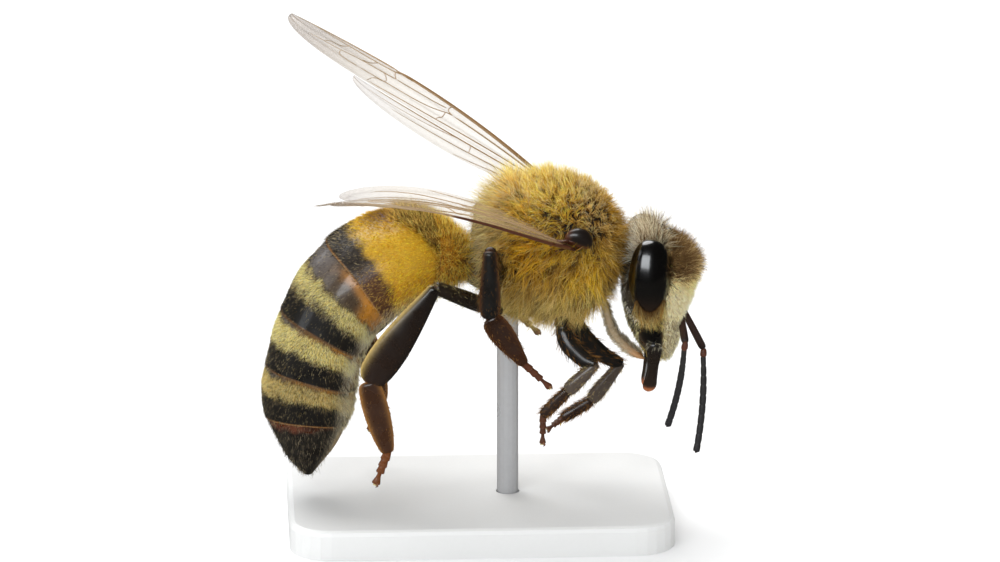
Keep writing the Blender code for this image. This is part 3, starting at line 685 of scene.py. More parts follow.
def build_thorax():
    skin = pulled_ball("thorax_skin", 96, 72, thorax_form, thorax_skin_tone)
    settle(skin, SKIN, "body_fur", "thorax")
    coat("thorax_coat", thorax_form, 29000, thorax_density, thorax_recipe, 11, rings=2, every=11,
         pull=0.56)

    def under(*place):
        made = thorax_recipe(*place)
        made.update(length=made["length"] * 0.45, width=0.020, tip=made["tone"] * 1.6)
        return made
    coat("thorax_underfur", thorax_form, 5000, thorax_density, under, 12, every=7, pull=0.45)

    def fuzz(spots, normals, *place):
        made = thorax_recipe(spots, normals, *place)
        rear = -spots[:, 0]
        # Paler towards the rear, and paler where it faces up: painted top light.
        pale = blend(made["tip"], FUZZ_PALE,
                     0.15 + 0.45 * ramp(normals[:, 2], 0.2, 0.8) + 0.3 * ramp(rear, 0.9, 1.4))
        longer = 1.15 + 0.35 * ramp(rear, 0.6, 1.3) * ramp(spots[:, 2], 0.0, 0.8)
        made.update(length=made["length"] * longer, width=0.011,
                    stand=np.clip(made["stand"] + 0.22, 0, 1), tone=pale * 0.55, tip=pale, stray=0.30)
        return made
    coat("thorax_fuzz", thorax_form, 6000, thorax_density, fuzz, 13, rings=2)

    def neck(share, turn):
        half = 0.62 - 0.12 * np.sin(math.pi * share)
        return xyz(1.2 + 1.2 * share, np.sin(turn) * half, -0.15 - 0.35 * share + np.cos(turn) * half)
    settle(pulled_ball("neck", 32, 12, neck, thorax_skin_tone), SKIN, "body_fur")

    def waist(share, turn):
        half = 0.42 + 0.30 * (share - 0.45) ** 2
        return xyz(-1.3 - 1.5 * share, np.sin(turn) * half, -0.30 - 0.12 * share + np.cos(turn) * half)
    settle(pulled_ball("waist", 32, 14, waist, thorax_skin_tone), SHELL, "dark_shell")


# ---------------------------------------------------------------- abdomen
PLATE_FILL = 0.957      # a plate's share of the form out to the hair tips
TERGITE_REACH = math.radians(138)       # how far a back plate wraps round to the belly
UNDERLAP = 0.42         # steps that a plate runs on under the one before it
# each plate's slot, count of hairs, hairs on bare shell and on felt, brightness of roots and tips
PLATES = (("amber_shell", 4600, 0.7, 1.0, 0.90, 1.6), ("amber_shell", 15000, 0.10, 0.7, 0.98, 1.35),
          ("dark_shell", 27000, 0.03, 1.0, 0.84, 1.7), ("dark_shell", 26000, 0.09, 1.0, 0.90, 1.65),
          ("dark_shell", 23000, 0.11, 1.0, 0.60, 1.4), ("dark_shell", 2400, 0.10, 1.0, 0.60, 1.4))
# where the felt begins and ends on the middle plates, and how much of the rim is horn
FELT_BANDS = {2: (0.30, 0.60, 0.35), 3: (0.02, 0.46, 0.45), 4: (0.02, 0.42, 0.85)}


def abdomen_point(step, turn, scale):
    """A point of the hind body at steps along its middle line; the flanks run forward."""
    step, turn, scale = np.broadcast_arrays(np.asarray(step, float), turn, scale)
    slant = 0.14 * np.cos(turn) * ramp(step, 2.5, 5.0) * (1 - ramp(step, 9.0, 11.0))
    advance = SIDE_ADVANCE * (1 - ramp(step, 9.6, 10.7))
    here = np.clip(step - advance * np.sin(turn) ** 2 - slant, 0, len(ABDOMEN) - 1)
    x, z, half_depth, half_width = through(ABDOMEN, here).T
    after, before = through(ABDOMEN, here + 0.05), through(ABDOMEN, here - 0.05)
    way = unit(xyz(after[:, 0] - before[:, 0], 0.0, after[:, 1] - before[:, 1]))
    depth = np.cos(turn) * half_depth * scale
    return xyz(x + way[:, 2] * depth, np.sin(turn) * half_width * scale, z - way[:, 0] * depth)


def plate_span(index):
    """Where a plate begins under the one before it, where it comes out, and where it ends."""
    first, last = PLATE_ENDS[index], PLATE_ENDS[index + 1]
    return first - (UNDERLAP if index else 0.0), first, last


def plate_part(index, share):
    """Where a share of a plate's whole length falls on its open part, 0 to 1."""
    begin, first, last = plate_span(index)
    return (begin + (last - begin) * share - first) / (last - first)


def plate_form(index, over_top=True):
    begin, first, last = plate_span(index)
    rest = 0.0 if over_top else -0.022

    def form(share, turn):
        step = begin + (last - begin) * share
        part = (step - first) / (last - first)
        lip = 0.012 * ramp(part, 0.85, 1.0) if index < 5 else 0.0
        scale = PLATE_FILL - 0.030 * (1 - ramp(part, -0.3, 0.9)) + lip + rest
        return abdomen_point(step, turn, scale)
    return form


def off_back(turn):
    """0 along the back, pi under the belly."""
    return np.abs(np.arctan2(np.sin(turn), np.cos(turn)))


def shoulder(away):
    """How far the hairy dark saddle of the first ring reaches over the second."""
    return 0.40 * (1 - ramp(away, 0.3, 1.25))


def blot(away, part):
    """The dark spot on the back of the golden ring."""
    return np.clip(1.3 * (hump(away, 0, 0.42) * hump(part, 0.50, 0.17)), 0, 1)


def band_tones(index, part, turn, spots):
    """Colour of the shell and share of pale felt on it, over a plate."""
    away = off_back(turn)
    at = part + ripple(spots, 0.16, 5.0) * 0.05
    if index == 0:
        shell = blend(UMBER * 2.2, TAWNY, ramp(at, 0.1, 0.6))
        felt = 0.35 * np.ones_like(part)
    elif index == 1:
        ahead, bend = shoulder(away), 0.05 * ramp(away, 0.9, 1.6)
        hind = ramp(at, 0.72 - bend, 0.84 - bend)
        shell = blend(AMBER * 0.80, AMBER_PALE, 0.5 + 0.5 * ripple(spots, 0.6, 2.0))
        # Deeper amber towards the belly: painted shade on the lower flank.
        shell = blend(shell, AMBER_DEEP, 0.8 * ramp(away, 1.35, 2.0))
        shell = blend(shell, BLOT, blot(away, at))
        shell = blend(SADDLE, shell, ramp(at, ahead - 0.06, ahead))
        shell = blend(shell, UMBER, 0.9 * hump(at, ahead - 0.05, 0.05) * (ahead > 0.03))
        shell = blend(shell, blend(UMBER * 0.6, BAND_BROWN, ramp(away, 0.95, 1.5)), hind)
        shell = blend(shell, HORN, ramp(part, 0.982, 0.992))
        felt = 0.30 + 0.10 * hind
    elif index == 5:
        strip = ramp(at, 0.05, 0.14 + 0.06 * hump(away, 0.7, 0.6)) + 0.6 * ramp(away, 1.2, 1.7)
        shell = blend(TIP_RED, BLACK * 2.4, np.clip(strip, 0, 1))
        felt = 0.05 * np.ones_like(part)
    else:
        front, split, rim = FELT_BANDS[index]
        cloudy = 0.60 + 0.40 * ripple(spots, 0.22, 9.0)
        amber = ramp(away, 0.55, 1.25) * (1 - ramp(at, 0.05, 0.20)) * cloudy
        # Painted reflection: along the back, the bare front of the plate is painted blue-grey, the sheen
        # of the pale room on the shell.
        painted_sheen = (1 - ramp(away, 0.25, 1.15)) * (0.8 + 0.2 * ripple(spots, 0.4, 3.0))
        shell = blend(UMBER * 1.6, BARE_AMBER, np.clip(amber + 0.9 * ramp(away, 1.55, 1.95), 0, 1))
        shell = blend(shell, PAINTED_SHEEN_GREY, 0.8 * painted_sheen)
        shell = blend(shell, BLACK * 1.6, ramp(at, split - 0.05, split + 0.05))
        shell = blend(shell, HORN, rim * ramp(part, 0.955, 0.985))
        felt = ramp(at, front - 0.04, front + 0.10) * (1 - ramp(at, split - 0.16, split + 0.14))
    return blend(shell, BELLY, 0.55 * ramp(away, 2.1, 2.6)), np.clip(felt, 0, 1)


def plate_density(index):
    bare, dense = PLATES[index][2:4]

    def density(spots, normals, share, turn):
        part, away = plate_part(index, share), off_back(turn)
        felt = band_tones(index, part, turn, spots)[1]
        if index == 1:
            felt = felt + 0.5 * (1 - ramp(part, shoulder(away), shoulder(away) + 0.1))
        return (bare + dense * felt) * (part > -0.02) * (away < TERGITE_REACH * 1.02)
    return density


def plate_recipe(index):
    # Roots darker and tips brighter than the hair's tone, by each plate's numbers.
    root, tip_brightness = PLATES[index][4:]

    def recipe(spots, normals, share, turn, rng):
        part, away, count = plate_part(index, share), off_back(turn), len(share)
        felt = band_tones(index, part, turn, spots)[1]
        at = PLATE_ENDS[index] + part
        lie = unit(abdomen_point(at + 0.2, turn, 1.0) - abdomen_point(at, turn, 1.0)) + DOWN * 0.25
        flank = ramp(away, 2.0, 2.4)
        length = 0.125 + 0.015 * felt + (0.24 if index == 4 else 0.10) * flank
        stand = 0.20 + 0.16 * felt + 0.04 * flank
        dusk = 0.16 + 0.22 * ramp(felt, 1.0, 0.4) + 0.12 * ripple(spots, 0.3, 7.0)
        pale = between(FELT_DEEP, FELT_PALE, rng, count)
        pale = either(pale, FELT_DUSK, dusk, rng, count, 0.9) * (0.85 if index == 4 else 1.0)
        grey = either(BLACK * 4, DULL, 0.30, rng, count)
        tone = blend(grey, pale, ramp(felt + rng.normal(0, 0.20, count), 0.25, 0.6))
        if index == 0:
            length = 0.36 + 0.10 * ramp(-part, -0.6, 0.0)
            stand = 0.5
            tone = either(between(WAIST_DEEP, WAIST_PALE, rng, count), WAIST_DARK,
                          0.16 + 0.10 * (away > 0.9), rng, count, 0.9)
        elif index == 1:
            golden = blend(BAND_GOLD, BAND_PALE, np.sqrt(rng.random(count)))
            golden = blend(golden, BLOT_HAIR, 0.75 * blot(away, part))
            tawny = either(TAWNY_DARK, TAWNY_PALE, 0.45, rng, count)
            dark = blend(grey, tawny, 0.85 * ramp(away, 0.95, 1.5))
            tone = blend(golden, dark, ramp(part + rng.normal(0, 0.03, count), 0.70, 0.82))
            saddle = 1 - ramp(part, shoulder(away), shoulder(away) + 0.12)
            tone = blend(tone, either(SADDLE_DARK, SADDLE_PALE, 0.46, rng, count), 0.9 * saddle)
            length = length + 0.08 * (1 - ramp(part, 0.6, 0.8)) + 0.20 * saddle
            stand = stand + 0.08 + 0.24 * saddle
        elif index == 5:
            length, stand = length + 0.09, stand + 0.16
            tone = either(BLACK * 4, TAIL_DULL, 0.25, rng, count)
        tone = blend(tone, CREAM * 0.8, 0.5 * flank)
        return {"length": length * (1.0 if index < 2 else 0.88),
                "width": 0.0165 if index == 0 else 0.0105 + 0.0030 * felt + 0.002 * flank,
                "lie": lie, "stand": stand, "tone": tone * root, "tip": tone * tip_brightness,
                "stray": 0.26, "sink": 0.015, "lock": 0.3}
    return recipe


def belly_recipe(spots, normals, share, turn, rng):
    tone = between(CREAM * 0.8, SAND, rng, len(spots))
    return {"length": 0.22, "width": 0.017, "lie": np.tile(REAR * 0.2 + DOWN, (len(spots), 1)),
            "stand": 0.22, "tone": tone * 0.7, "tip": tone, "stray": 0.18}


def build_plate(index):
    """One ring of the abdomen: its back plate, its belly plate and the hair of both."""
    slot, hairs = PLATES[index][:2]
    name = "abdomen_" + str(index + 1)
    form, low_form = plate_form(index), plate_form(index, over_top=False)
    belly_reach = math.pi - TERGITE_REACH + 0.22

    def back_turn(over):
        return (over * 2 - 1) * TERGITE_REACH

    def plate_tone(spots, along, over):
        shell, felt = band_tones(index, plate_part(index, along), back_turn(over), spots)
        return blend(shell, OLIVE * 0.20, 0.5 * felt * (index > 1))

    def belly_tone(spots, along, over):
        part = plate_part(index, along)
        base = blend(BELLY_TAN, BELLY_DARK, ramp(part, 0.2, 0.7))
        return blend(base, UMBER, ramp(part, 0.86, 0.96) * (index < 5))

    def spot(share, turn):
        step = PLATE_ENDS[index] + np.clip(plate_part(index, share), 0, 1) * (
            PLATE_ENDS[index + 1] - PLATE_ENDS[index])
        return np.stack((turn / (2 * math.pi) + 0.5, step / PLATE_ENDS[-1]), axis=1)

    plate = bent_sheet(name + "_plate", 56, 110, lambda along, over: form(along, back_turn(over)),
                       plate_tone, 0.030, 1.0)
    outwards(plate)
    settle(plate, SATIN if index < 2 else SHELL, slot, name)
    belly = bent_sheet(name + "_belly", 24, 40,
                       lambda along, over: low_form(along, math.pi + (over * 2 - 1) * belly_reach),
                       belly_tone, 0.025, 1.0)
    outwards(belly)
    settle(belly, SHELL, slot)
    coat(name + "_coat", form, hairs, plate_density(index), plate_recipe(index), 40 + index, slot,
         pull=0.12, spot=spot)
    if index < 5:
        coat(name + "_belly_coat", low_form, 900,
             lambda spots, normals, share, turn: (plate_part(index, share) > 0.1) * 1.0,
             belly_recipe, 60 + index, slot, every=5,
             turns=(TERGITE_REACH + 0.02, 2 * math.pi - TERGITE_REACH - 0.02), spot=spot)


def build_abdomen():
    def core(share, turn):
        return abdomen_point(0.4 + 10.4 * share, turn, 0.90 * np.clip(np.sin(math.pi * share) * 6, 0, 1))
    settle(pulled_ball("abdomen_core", 48, 60, core, plain(UMBER * 1.5)), SKIN, "dark_shell")
    tip = bead("abdomen_tip", 24, 16, (ABDOMEN[-1][0], 0.0, ABDOMEN[-1][1] + 0.14), (0.115, 0.130, 0.135),
               BLACK * 2.4)
    settle(tip, SHELL, "dark_shell")
    for index in range(len(PLATES)):
        build_plate(index)


# ---------------------------------------------------------------- head
def head_form(share, turn):
    z, x, half_depth, half_width = through(HEAD, share * (len(HEAD) - 1)).T
    front = np.cos(turn)
    ahead = 0.79 - 0.10 * ramp(-z, 1.9, 2.5)
    fill = (0.935 + ahead) / 2 - (0.935 - ahead) / 2 * np.tanh(front * 3)
    across = np.sign(np.sin(turn)) * np.abs(np.sin(turn)) ** 0.92
    along = np.sign(front) * np.abs(front) ** 0.92
    face = np.clip(front, 0, 1) ** 2
    swell = 1 + (0.02 * hump(z, -2.55, 0.45) - 0.27 * hump(z, -1.75, 0.42)
                 - 0.14 * hump(z, -0.9, 0.55)) * face
    height = np.where(z > -1.2, 0.815 + 0.04 * np.clip(along, -1, 0), 0.93)
    slope = 0.30 * np.clip(along, 0, 1) * ramp(z, -0.7, 0.5)
    return xyz(x + along * half_depth * fill * swell, across * half_width * 0.87,
               -1.2 + (z + 1.2) * height - slope)


def malar(spots):
    """The bare glossy cheek between eye and jaw."""
    x, y, z = spots.T
    return np.exp(-((x - 2.62) / 0.30) ** 4 - ((z + 2.48) / 0.48) ** 4) * (np.abs(y) > 0.35)


def under_eye(spots):
    """The dark cheek that the golden lashes fan over."""
    return ramp(-spots[:, 0], -3.00, -2.78) * ramp(-spots[:, 2], 1.25, 1.45)


def cheek(spots):
    """The side of the head behind the eye."""
    return ramp(-spots[:, 0], -2.55, -2.20)


def head_skin_tone(spots, share, turn):
    glossy = malar(spots)
    tone = blend(UMBER * 0.8, TAN * 0.30, ramp(ripple(spots, 0.3, 4.0), -0.4, 0.9))
    tone = blend(tone, CHEEK_DARK, 0.85 * cheek(spots))
    tone = blend(tone, BLACK * 0.5, np.maximum(ramp(glossy, 0.25, 0.5), 0.8 * under_eye(spots)))
    # The lower face is pale, and painted lighter still against the shade that falls on it, as it faces
    # down.
    lower_face = ramp(-spots[:, 2], 0.8, 1.1) * ramp(spots[:, 0], 2.85, 3.05)
    return blend(tone, FACE_SKIN, 0.9 * lower_face * (1 - ramp(glossy, 0.15, 0.4)))


def eye_axes(side):
    middle = np.array((EYE_AT[0], side * EYE_AT[1], EYE_AT[2]))
    long_way = unit((math.sin(EYE_TILT), -side * math.sin(EYE_LEAN), math.cos(EYE_LEAN)))
    wide_way = unit((math.cos(EYE_TILT), 0, -math.sin(EYE_TILT)))
    return middle, long_way, wide_way, np.cross(long_way, wide_way)


def inside_eye(spots, margin=0.0):
    """Above 0 where a place on the head is under an eye."""
    deepest = np.full(len(spots), -9.0)
    inner = 0.6 + 0.45 * ramp(spots[:, 2], -0.3, 0.2)
    for side, _ in SIDES:
        middle, long_way, wide_way, out_way = eye_axes(side)
        offset = spots - middle
        reach = ((offset @ wide_way / (EYE_RADII[0] + margin)) ** 2
                 + (offset @ long_way / (EYE_RADII[2] + margin)) ** 2)
        deepest = np.maximum(deepest, np.where(spots[:, 1] * side > inner, 1 - reach, -9))
    return deepest


def head_regions(spots):
    """How much each place belongs to the crown, the brow, the face and the rear of the head."""
    x, y, z = spots.T
    nape = ramp(-x, -2.75, -2.35) * (1 - ramp(np.abs(y), 1.15, 1.40))
    crown = ramp(z + 0.34 * nape, -0.08, 0.14) * (1 - ramp(x, 2.95, 3.15))
    brow = ramp(x, 2.92, 3.14) * ramp(z, -0.85, -0.28)
    face = ramp(x, 2.86, 3.10) * ramp(-z, 0.25, 0.6) * ramp(z, -1.85, -1.45)
    return crown, brow, face, cheek(spots) * (1 - crown)


def head_cover(spots):
    x, y, z = spots.T
    feeler_pit = soft_spot((z + 1.62, 0.16), (np.abs(y) - 0.30, 0.26)) * (x > 3.0)
    return (1 - ramp(malar(spots), 0.2, 0.4)) * (inside_eye(spots) <= 0) * (1 - feeler_pit)


def long_hair(spots, normals, share, turn):
    crown, brow, face, rear = head_regions(spots)
    pate = crown * ramp(-spots[:, 0], -2.65, -2.45)
    return np.clip(0.13 * crown + 0.60 * pate + brow + 1.1 * face, 0, 1.1) * head_cover(spots)


def short_hair(spots, normals, share, turn):
    crown, brow, face, rear = head_regions(spots)
    behind = ramp(-spots[:, 0], -2.35, -2.1) * (np.abs(spots[:, 1]) < 0.9)
    pate = crown * ramp(-spots[:, 0], -2.9, -2.6)
    long_haired = np.clip(crown + brow + face, 0, 1)
    return (1.0 - 0.7 * long_haired + 0.2 * pate - 0.5 * behind) * head_cover(spots)


def head_recipe(spots, normals, share, turn, rng):
    x, y, z = spots.T
    count = len(x)
    crown, brow, face, rear = head_regions(spots)
    lower = ramp(-z, 1.6, 1.8) * ramp(x, 2.85, 3.05)
    by_eye = (inside_eye(spots, 0.16) > 0) * (1 - crown)
    dip = 1 - 0.65 * hump(x, 3.08, 0.13) * ramp(z, -0.2, 0.0)
    length = (0.21 + (0.46 + 0.14 * ramp(x, 2.35, 2.75)) * crown + 0.26 * brow
              + 0.12 * face * ramp(z, -1.5, -0.7))
    length = length * dip * (1 + (0.5 * rng.random(count) - 0.2) * (brow + crown))
    length = length * (1 - 0.55 * crown * ramp(np.abs(normals[:, 1]), 0.55, 0.85))
    length = (length - 0.05 * lower - 0.05 * rear) * (1 - 0.50 * by_eye * ramp(-x, -2.95, -2.65))
    stand = 0.34 + 0.50 * crown + 0.42 * brow + 0.26 * face - 0.10 * lower - 0.10 * rear
    lie = DOWN * (1.0 - 1.7 * crown - 0.9 * brow)[:, None]
    lie = lie + xyz(0.25 - 0.5 * rear + 0.3 * brow + 0.5 * crown, 0.0, 0.0)
    tone = blend(STRAW, SAND, rng.random(count) * 0.7)
    cream = between(FACE_PALE, FACE_CREAM, rng, count)
    upper_face = 1 - ramp(-z + 0.35 * ripple(spots, 0.4, 5.0), 0.65, 1.35)
    cream = blend(cream, FACE_GOLD, 0.75 * upper_face)
    tone = blend(tone, cream, np.clip(face * 0.95 + 0.3 * ramp(x, 2.7, 3.0), 0, 1))
    tone = blend(tone, between(LIP_GOLD, LIP_PALE, rng, count), lower)
    brown = either(BROW_TAN, BROW_BROWN, 0.92 - 0.30 * ramp(x, 3.35, 3.65), rng, count)
    soft = 0.20 * ripple(spots, 0.45, 2.0) + rng.normal(0, 0.17, count)
    tone = blend(tone, brown, 0.95 * ramp(brow + soft * (brow > 0), 0.32, 0.60))
    mixed = either(CROWN_BROWN, CROWN_FAWN, 0.52, rng, count)
    nape = crown * ramp(-x, -2.48, -2.24)
    tone = blend(tone, blend(mixed, NAPE_PALE, 0.85 * nape), crown)
    tone = blend(tone, either(LASH_DARK, LASH_GOLD, 0.45, rng, count), 0.9 * under_eye(spots))
    # Behind the eye the cheek hair is silvery; right beside the eye it is painted brighter still, a
    # painted highlight of light on those hairs.
    silver = ramp(x, 1.65, 1.85) * ramp(z, -1.9, -1.1)
    beside = rear * (inside_eye(spots, 0.30) > 0)
    dull = blend(CHEEK_DULL, CHEEK_SHADE, silver)
    clear = blend(CHEEK_STRAW, SILVER, silver) * (1.3 + 0.6 * beside)[:, None]
    tone = blend(tone, either(dull, clear, 0.52 + 0.34 * beside, rng, count), 0.95 * rear)
    # On the lower face the roots are painted lighter, against the shade that falls there.
    return {"length": length, "width": 0.0165 + 0.002 * face - 0.003 * crown, "lie": lie,
            "stand": np.clip(stand, 0.1, 1.0),
            "tone": tone * (0.56 + 0.36 * lower + 0.26 * face + 0.30 * nape)[:, None],
            "tip": tone * 1.25 + np.array((0.05, 0.03, 0.0)),
            "stray": 0.24 + 0.16 * np.clip(crown + brow, 0, 1)[:, None], "lock": 0.6}


def eye_form(side):
    middle, long_way, wide_way, out_way = eye_axes(side)

    def form(share, turn):
        up = np.cos(share * math.pi)
        out = np.sin(share * math.pi) ** 0.78 * (1 - 0.07 * ramp(-up, 0.0, 0.9))
        return (middle - long_way * 0.05 + long_way * (up * EYE_RADII[2] * 0.94)[:, None]
                + wide_way * (np.cos(turn) * out * EYE_RADII[0] * 1.08)[:, None]
                + out_way * (np.sin(turn) * out * EYE_RADII[1])[:, None])
    return form


def eye_tone(spots, share, turn):
    # Painted reflection: the lower part of the eye is painted brown, the reflection it shows there.
    return blend(EYE_BLACK, EYE_REFLECTED_BROWN, ramp(share, 0.60, 0.95))


def build_head():
    skin = pulled_ball("head_skin", 112, 80, head_form, head_skin_tone)
    settle(skin, SHELL, "face_fur", "head")
    coat("head_coat", head_form, 14000, long_hair, head_recipe, 21, "face_fur", rings=2, every=5,
         pull=0.28)
    coat("head_down", head_form, 13000, short_hair, head_recipe, 22, "face_fur")
    for side, side_name in SIDES:
        eye = pulled_ball("eye_dome_" + side_name, 72, 56, eye_form(side), eye_tone)
        settle(eye, EYE, "eye", "eye_" + side_name)
        fringe(side, side_name)
    beads = [bead("ocellus", 20, 12, middle, (0.11, 0.11, 0.10), BLACK)
             for middle in ((3.16, 0.0, 0.35), (2.98, -0.26, 0.38), (2.98, 0.26, 0.38))]
    settle(joined("ocelli", beads), EYE, "eye")


def fringe(side, side_name):
    """Golden hairs that fan down from under the eye, over the cheek."""
    middle, long_way, wide_way, out_way = eye_axes(side)
    outer = np.array((0.0, side, 0.0))

    def rim(share, turn):
        angle = math.radians(218) + math.radians(108) * share
        reach = 0.84 + 0.16 * (turn / (2 * math.pi) + 0.5)
        return (middle - long_way * 0.05 + wide_way * (np.cos(angle) * EYE_RADII[0] * reach)[:, None]
                + long_way * (np.sin(angle) * EYE_RADII[2] * 0.94 * reach)[:, None]
                + outer * (0.27 - 0.10 * (reach - 0.84) / 0.16)[:, None])

    def recipe(spots, normals, share, turn, rng):
        tone = between(FRINGE_DEEP, FRINGE_PALE, rng, len(spots))
        return {"length": 0.50 + 0.10 * rng.random(len(spots)), "width": 0.0135,
                "lie": unit(spots - middle) + DOWN * 0.4 - outer * 0.15, "stand": 0.05,
                "tone": np.tile(FRINGE_ROOT, (len(spots), 1)), "tip": tone * 1.2,
                "stray": 0.22, "sink": 0.0, "lock": 0.5}
    coat("eye_fringe_" + side_name, rim, 380, everywhere, recipe, 25 + side, "face_fur",
         rings=2, every=5, pull=0.25)


# ---------------------------------------------------------------- limbs
def limb_form(rows, broad):
    """A jointed limb's form over rows of x, y, z, broad half width and thin half width."""
    rows = np.asarray(rows, float)
    last = len(rows) - 1

    def form(share, turn):
        at = share * last
        here = through(rows, at)
        way = unit(through(rows, at + 0.06)[:, :3] - through(rows, at - 0.06)[:, :3])
        thin = unit(np.cross(way, broad))
        wide = np.cross(thin, way)
        return (here[:, :3] + wide * (np.cos(turn) * here[:, 3])[:, None]
                + thin * (np.sin(turn) * here[:, 4])[:, None])
    return form


def limb_rows(start, end, profile, broad_half, thin_half, bow=(0, 0, 0)):
    """Rows from start to end; the profile gives places along and the two relative half widths there."""
    start, end, bow = (np.asarray(point, float) for point in (start, end, bow))
    rows = []
    for step, broad, thin in profile:
        middle = start + (end - start) * step + bow * 4 * step * (1 - step)
        rows.append((*middle, max(broad * broad_half, 0.004), max(thin * thin_half, 0.004)))
    return rows


def rounded(*rows):
    """A limb's profile with both its ends drawn in."""
    return ((0.0, 0.1, 0.1), *rows, (1.0, 0.1, 0.1))


def tube(*pairs):
    """The same for a round limb, from places along and relative half widths."""
    return rounded(*((at, size, size) for at, size in pairs))


FEMUR = rounded((0.02, 0.6, 0.6), (0.10, 0.85, 0.85), (0.16, 0.70, 0.75), (0.24, 0.92, 0.92),
                (0.45, 1.0, 1.0), (0.75, 0.90, 0.92), (0.92, 0.78, 0.85), (0.985, 0.62, 0.7))
TIBIA = rounded((0.03, 0.60, 0.75), (0.12, 0.68, 0.9), (0.35, 0.84, 1.0), (0.62, 0.98, 1.0),
                (0.82, 1.0, 0.95), (0.92, 0.86, 0.85), (0.975, 0.58, 0.6))
BASKET = ((0.0, 0.1, 0.1), (0.02, 0.36, 0.9), (0.10, 0.45, 1.0), (0.30, 0.68, 1.0), (0.55, 0.92, 0.95),
          (0.75, 1.0, 0.85), (0.90, 0.90, 0.75), (0.97, 0.62, 0.7), (1.0, 0.2, 0.1))
BRUSH = rounded((0.03, 0.68, 0.8), (0.12, 0.90, 1.0), (0.38, 1.0, 1.0), (0.7, 0.86, 0.9),
                (0.9, 0.62, 0.75), (0.975, 0.42, 0.6))
LONG_FOOT = rounded((0.03, 0.75, 0.8), (0.12, 0.92, 1.0), (0.45, 1.0, 1.0), (0.8, 0.95, 0.9),
                    (0.96, 0.70, 0.7))
MID_FOOT = rounded((0.03, 0.62, 0.8), (0.12, 0.92, 1.0), (0.32, 1.0, 1.0), (0.55, 0.88, 0.95),
                   (0.78, 0.62, 0.85), (0.94, 0.42, 0.7))
TOE = rounded((0.08, 0.72, 0.70), (0.45, 0.88, 0.85), (0.82, 1.0, 0.9), (0.95, 0.88, 0.78))
LAST_TOE = rounded((0.06, 0.45, 0.45), (0.4, 0.55, 0.55), (0.8, 0.95, 0.9), (0.95, 0.9, 0.8))
HOOK = ((0.0, 0.3, 0.3), (0.1, 1.0, 1.0), (0.5, 0.75, 0.75), (0.85, 0.35, 0.35), (1.0, 0.02, 0.02))
# the toes of a foot: where each ends on it, and its relative width
TOES = ((0.24, 1.0), (0.44, 0.95), (0.62, 0.9), (0.95, 0.9))

# Of thigh, shin and long foot joint: name, profile, and how far each bows.
LEG_JOINTS = ("femur", "tibia", "basitarsus")
LEG_PROFILES = {"fore": (FEMUR, TIBIA, LONG_FOOT), "mid": (FEMUR, TIBIA, MID_FOOT),
                "hind": (FEMUR, BASKET, BRUSH)}
STRAIGHT = (0, 0, 0)
LEG_BOWS = {"fore": ((-0.22, 0.0, -0.20), STRAIGHT, STRAIGHT), "mid": (STRAIGHT, STRAIGHT, STRAIGHT),
            "hind": (STRAIGHT, (0.05, 0.0, 0.06), STRAIGHT)}
# Half widths, broad and thin, of thigh, shin, long foot joint and toes.
LEG_WIDTHS = {"fore": ((0.245, 0.20), (0.20, 0.17), (0.165, 0.13), (0.100, 0.09)),
              "mid": ((0.225, 0.20), (0.285, 0.19), (0.330, 0.14), (0.110, 0.09)),
              "hind": ((0.235, 0.21), (0.470, 0.17), (0.350, 0.14), (0.130, 0.10))}
# Tones of the same four, from their start to their end.
LEG_TONES = {
    "fore": ((BLACK * 1.5, BLACK * 2), ((0.07, 0.052, 0.040), (0.10, 0.075, 0.055)),
             ((0.034, 0.019, 0.012), (0.030, 0.012, 0.006)),
             ((0.055, 0.018, 0.008), (0.14, 0.050, 0.022))),
    "mid": ((BLACK * 1.5, BLACK * 1.2), (BLACK, BLACK * 1.8),
            ((0.018, 0.007, 0.003), (0.045, 0.015, 0.005)),
            ((0.070, 0.019, 0.007), (0.13, 0.042, 0.016))),
    "hind": ((BLACK * 1.5, UMBER * 0.5), (BLACK * 0.8, (0.028, 0.013, 0.007)),
             ((0.036, 0.015, 0.007), (0.060, 0.021, 0.007)),
             ((0.17, 0.048, 0.010), (0.15, 0.055, 0.020))),
}
# Tones of the front and rear edges of thigh, shin and long foot joint.
BROWN_EDGES = ((0.10, 0.036, 0.012), (0.085, 0.030, 0.010))
LEG_EDGES = {"fore": (None, None, None), "mid": (None, BROWN_EDGES, BROWN_EDGES),
             "hind": (None, (BLACK * 1.5, (0.60, 0.42, 0.13)), ((0.36, 0.16, 0.035), (0.40, 0.18, 0.04)))}
# The tone in the bend at both ends of a joint, and how much of it shows.
RUST_BEND, ORANGE_BEND = ((0.20, 0.075, 0.025), 0.5), ((0.50, 0.20, 0.030), 0.9)
# Hair of thigh, shin and long foot joint: dark and pale tone, lengths, counts.
LEG_HAIR = {
    "fore": (((HAIR_BLACK, HAIR_RUST * 1.2), (HAIR_BROWN, SAND * 0.9), (HAIR_BROWN, HAIR_RUST)),
             (0.26, 0.16, 0.16), (380, 300, 420)),
    "mid": (((HAIR_BLACK, HAIR_BLACK), (HAIR_BLACK, HAIR_BROWN), (HAIR_BROWN * 0.4, HAIR_RUST)),
            (0.18, 0.20, 0.16), (250, 340, 300)),
    "hind": (((HAIR_BLACK, SAND), (HAIR_BLACK, HAIR_BROWN), (HAIR_BROWN, HAIR_RUST)),
             (0.22, 0.10, 0.10), (300, 220, 420)),
}


def graded(first, second, reach=0.10, edges=None, bend=RUST_BEND):
    """From the first tone to the second along a joint; edges are the tones of its front and rear."""
    def tone(spots, share, turn):
        main = blend(first, second, share)
        if edges is not None:
            main = blend(main, edges[0], np.clip(np.cos(turn), 0, 1) ** 5)
            main = blend(main, edges[1], np.clip(-np.cos(turn), 0, 1) ** 5)
        ends = np.clip(1 - share / reach, 0, 1) + np.clip((share - 1 + reach) / reach, 0, 1)
        return blend(main, bend[0], bend[1] * ends)
    return tone


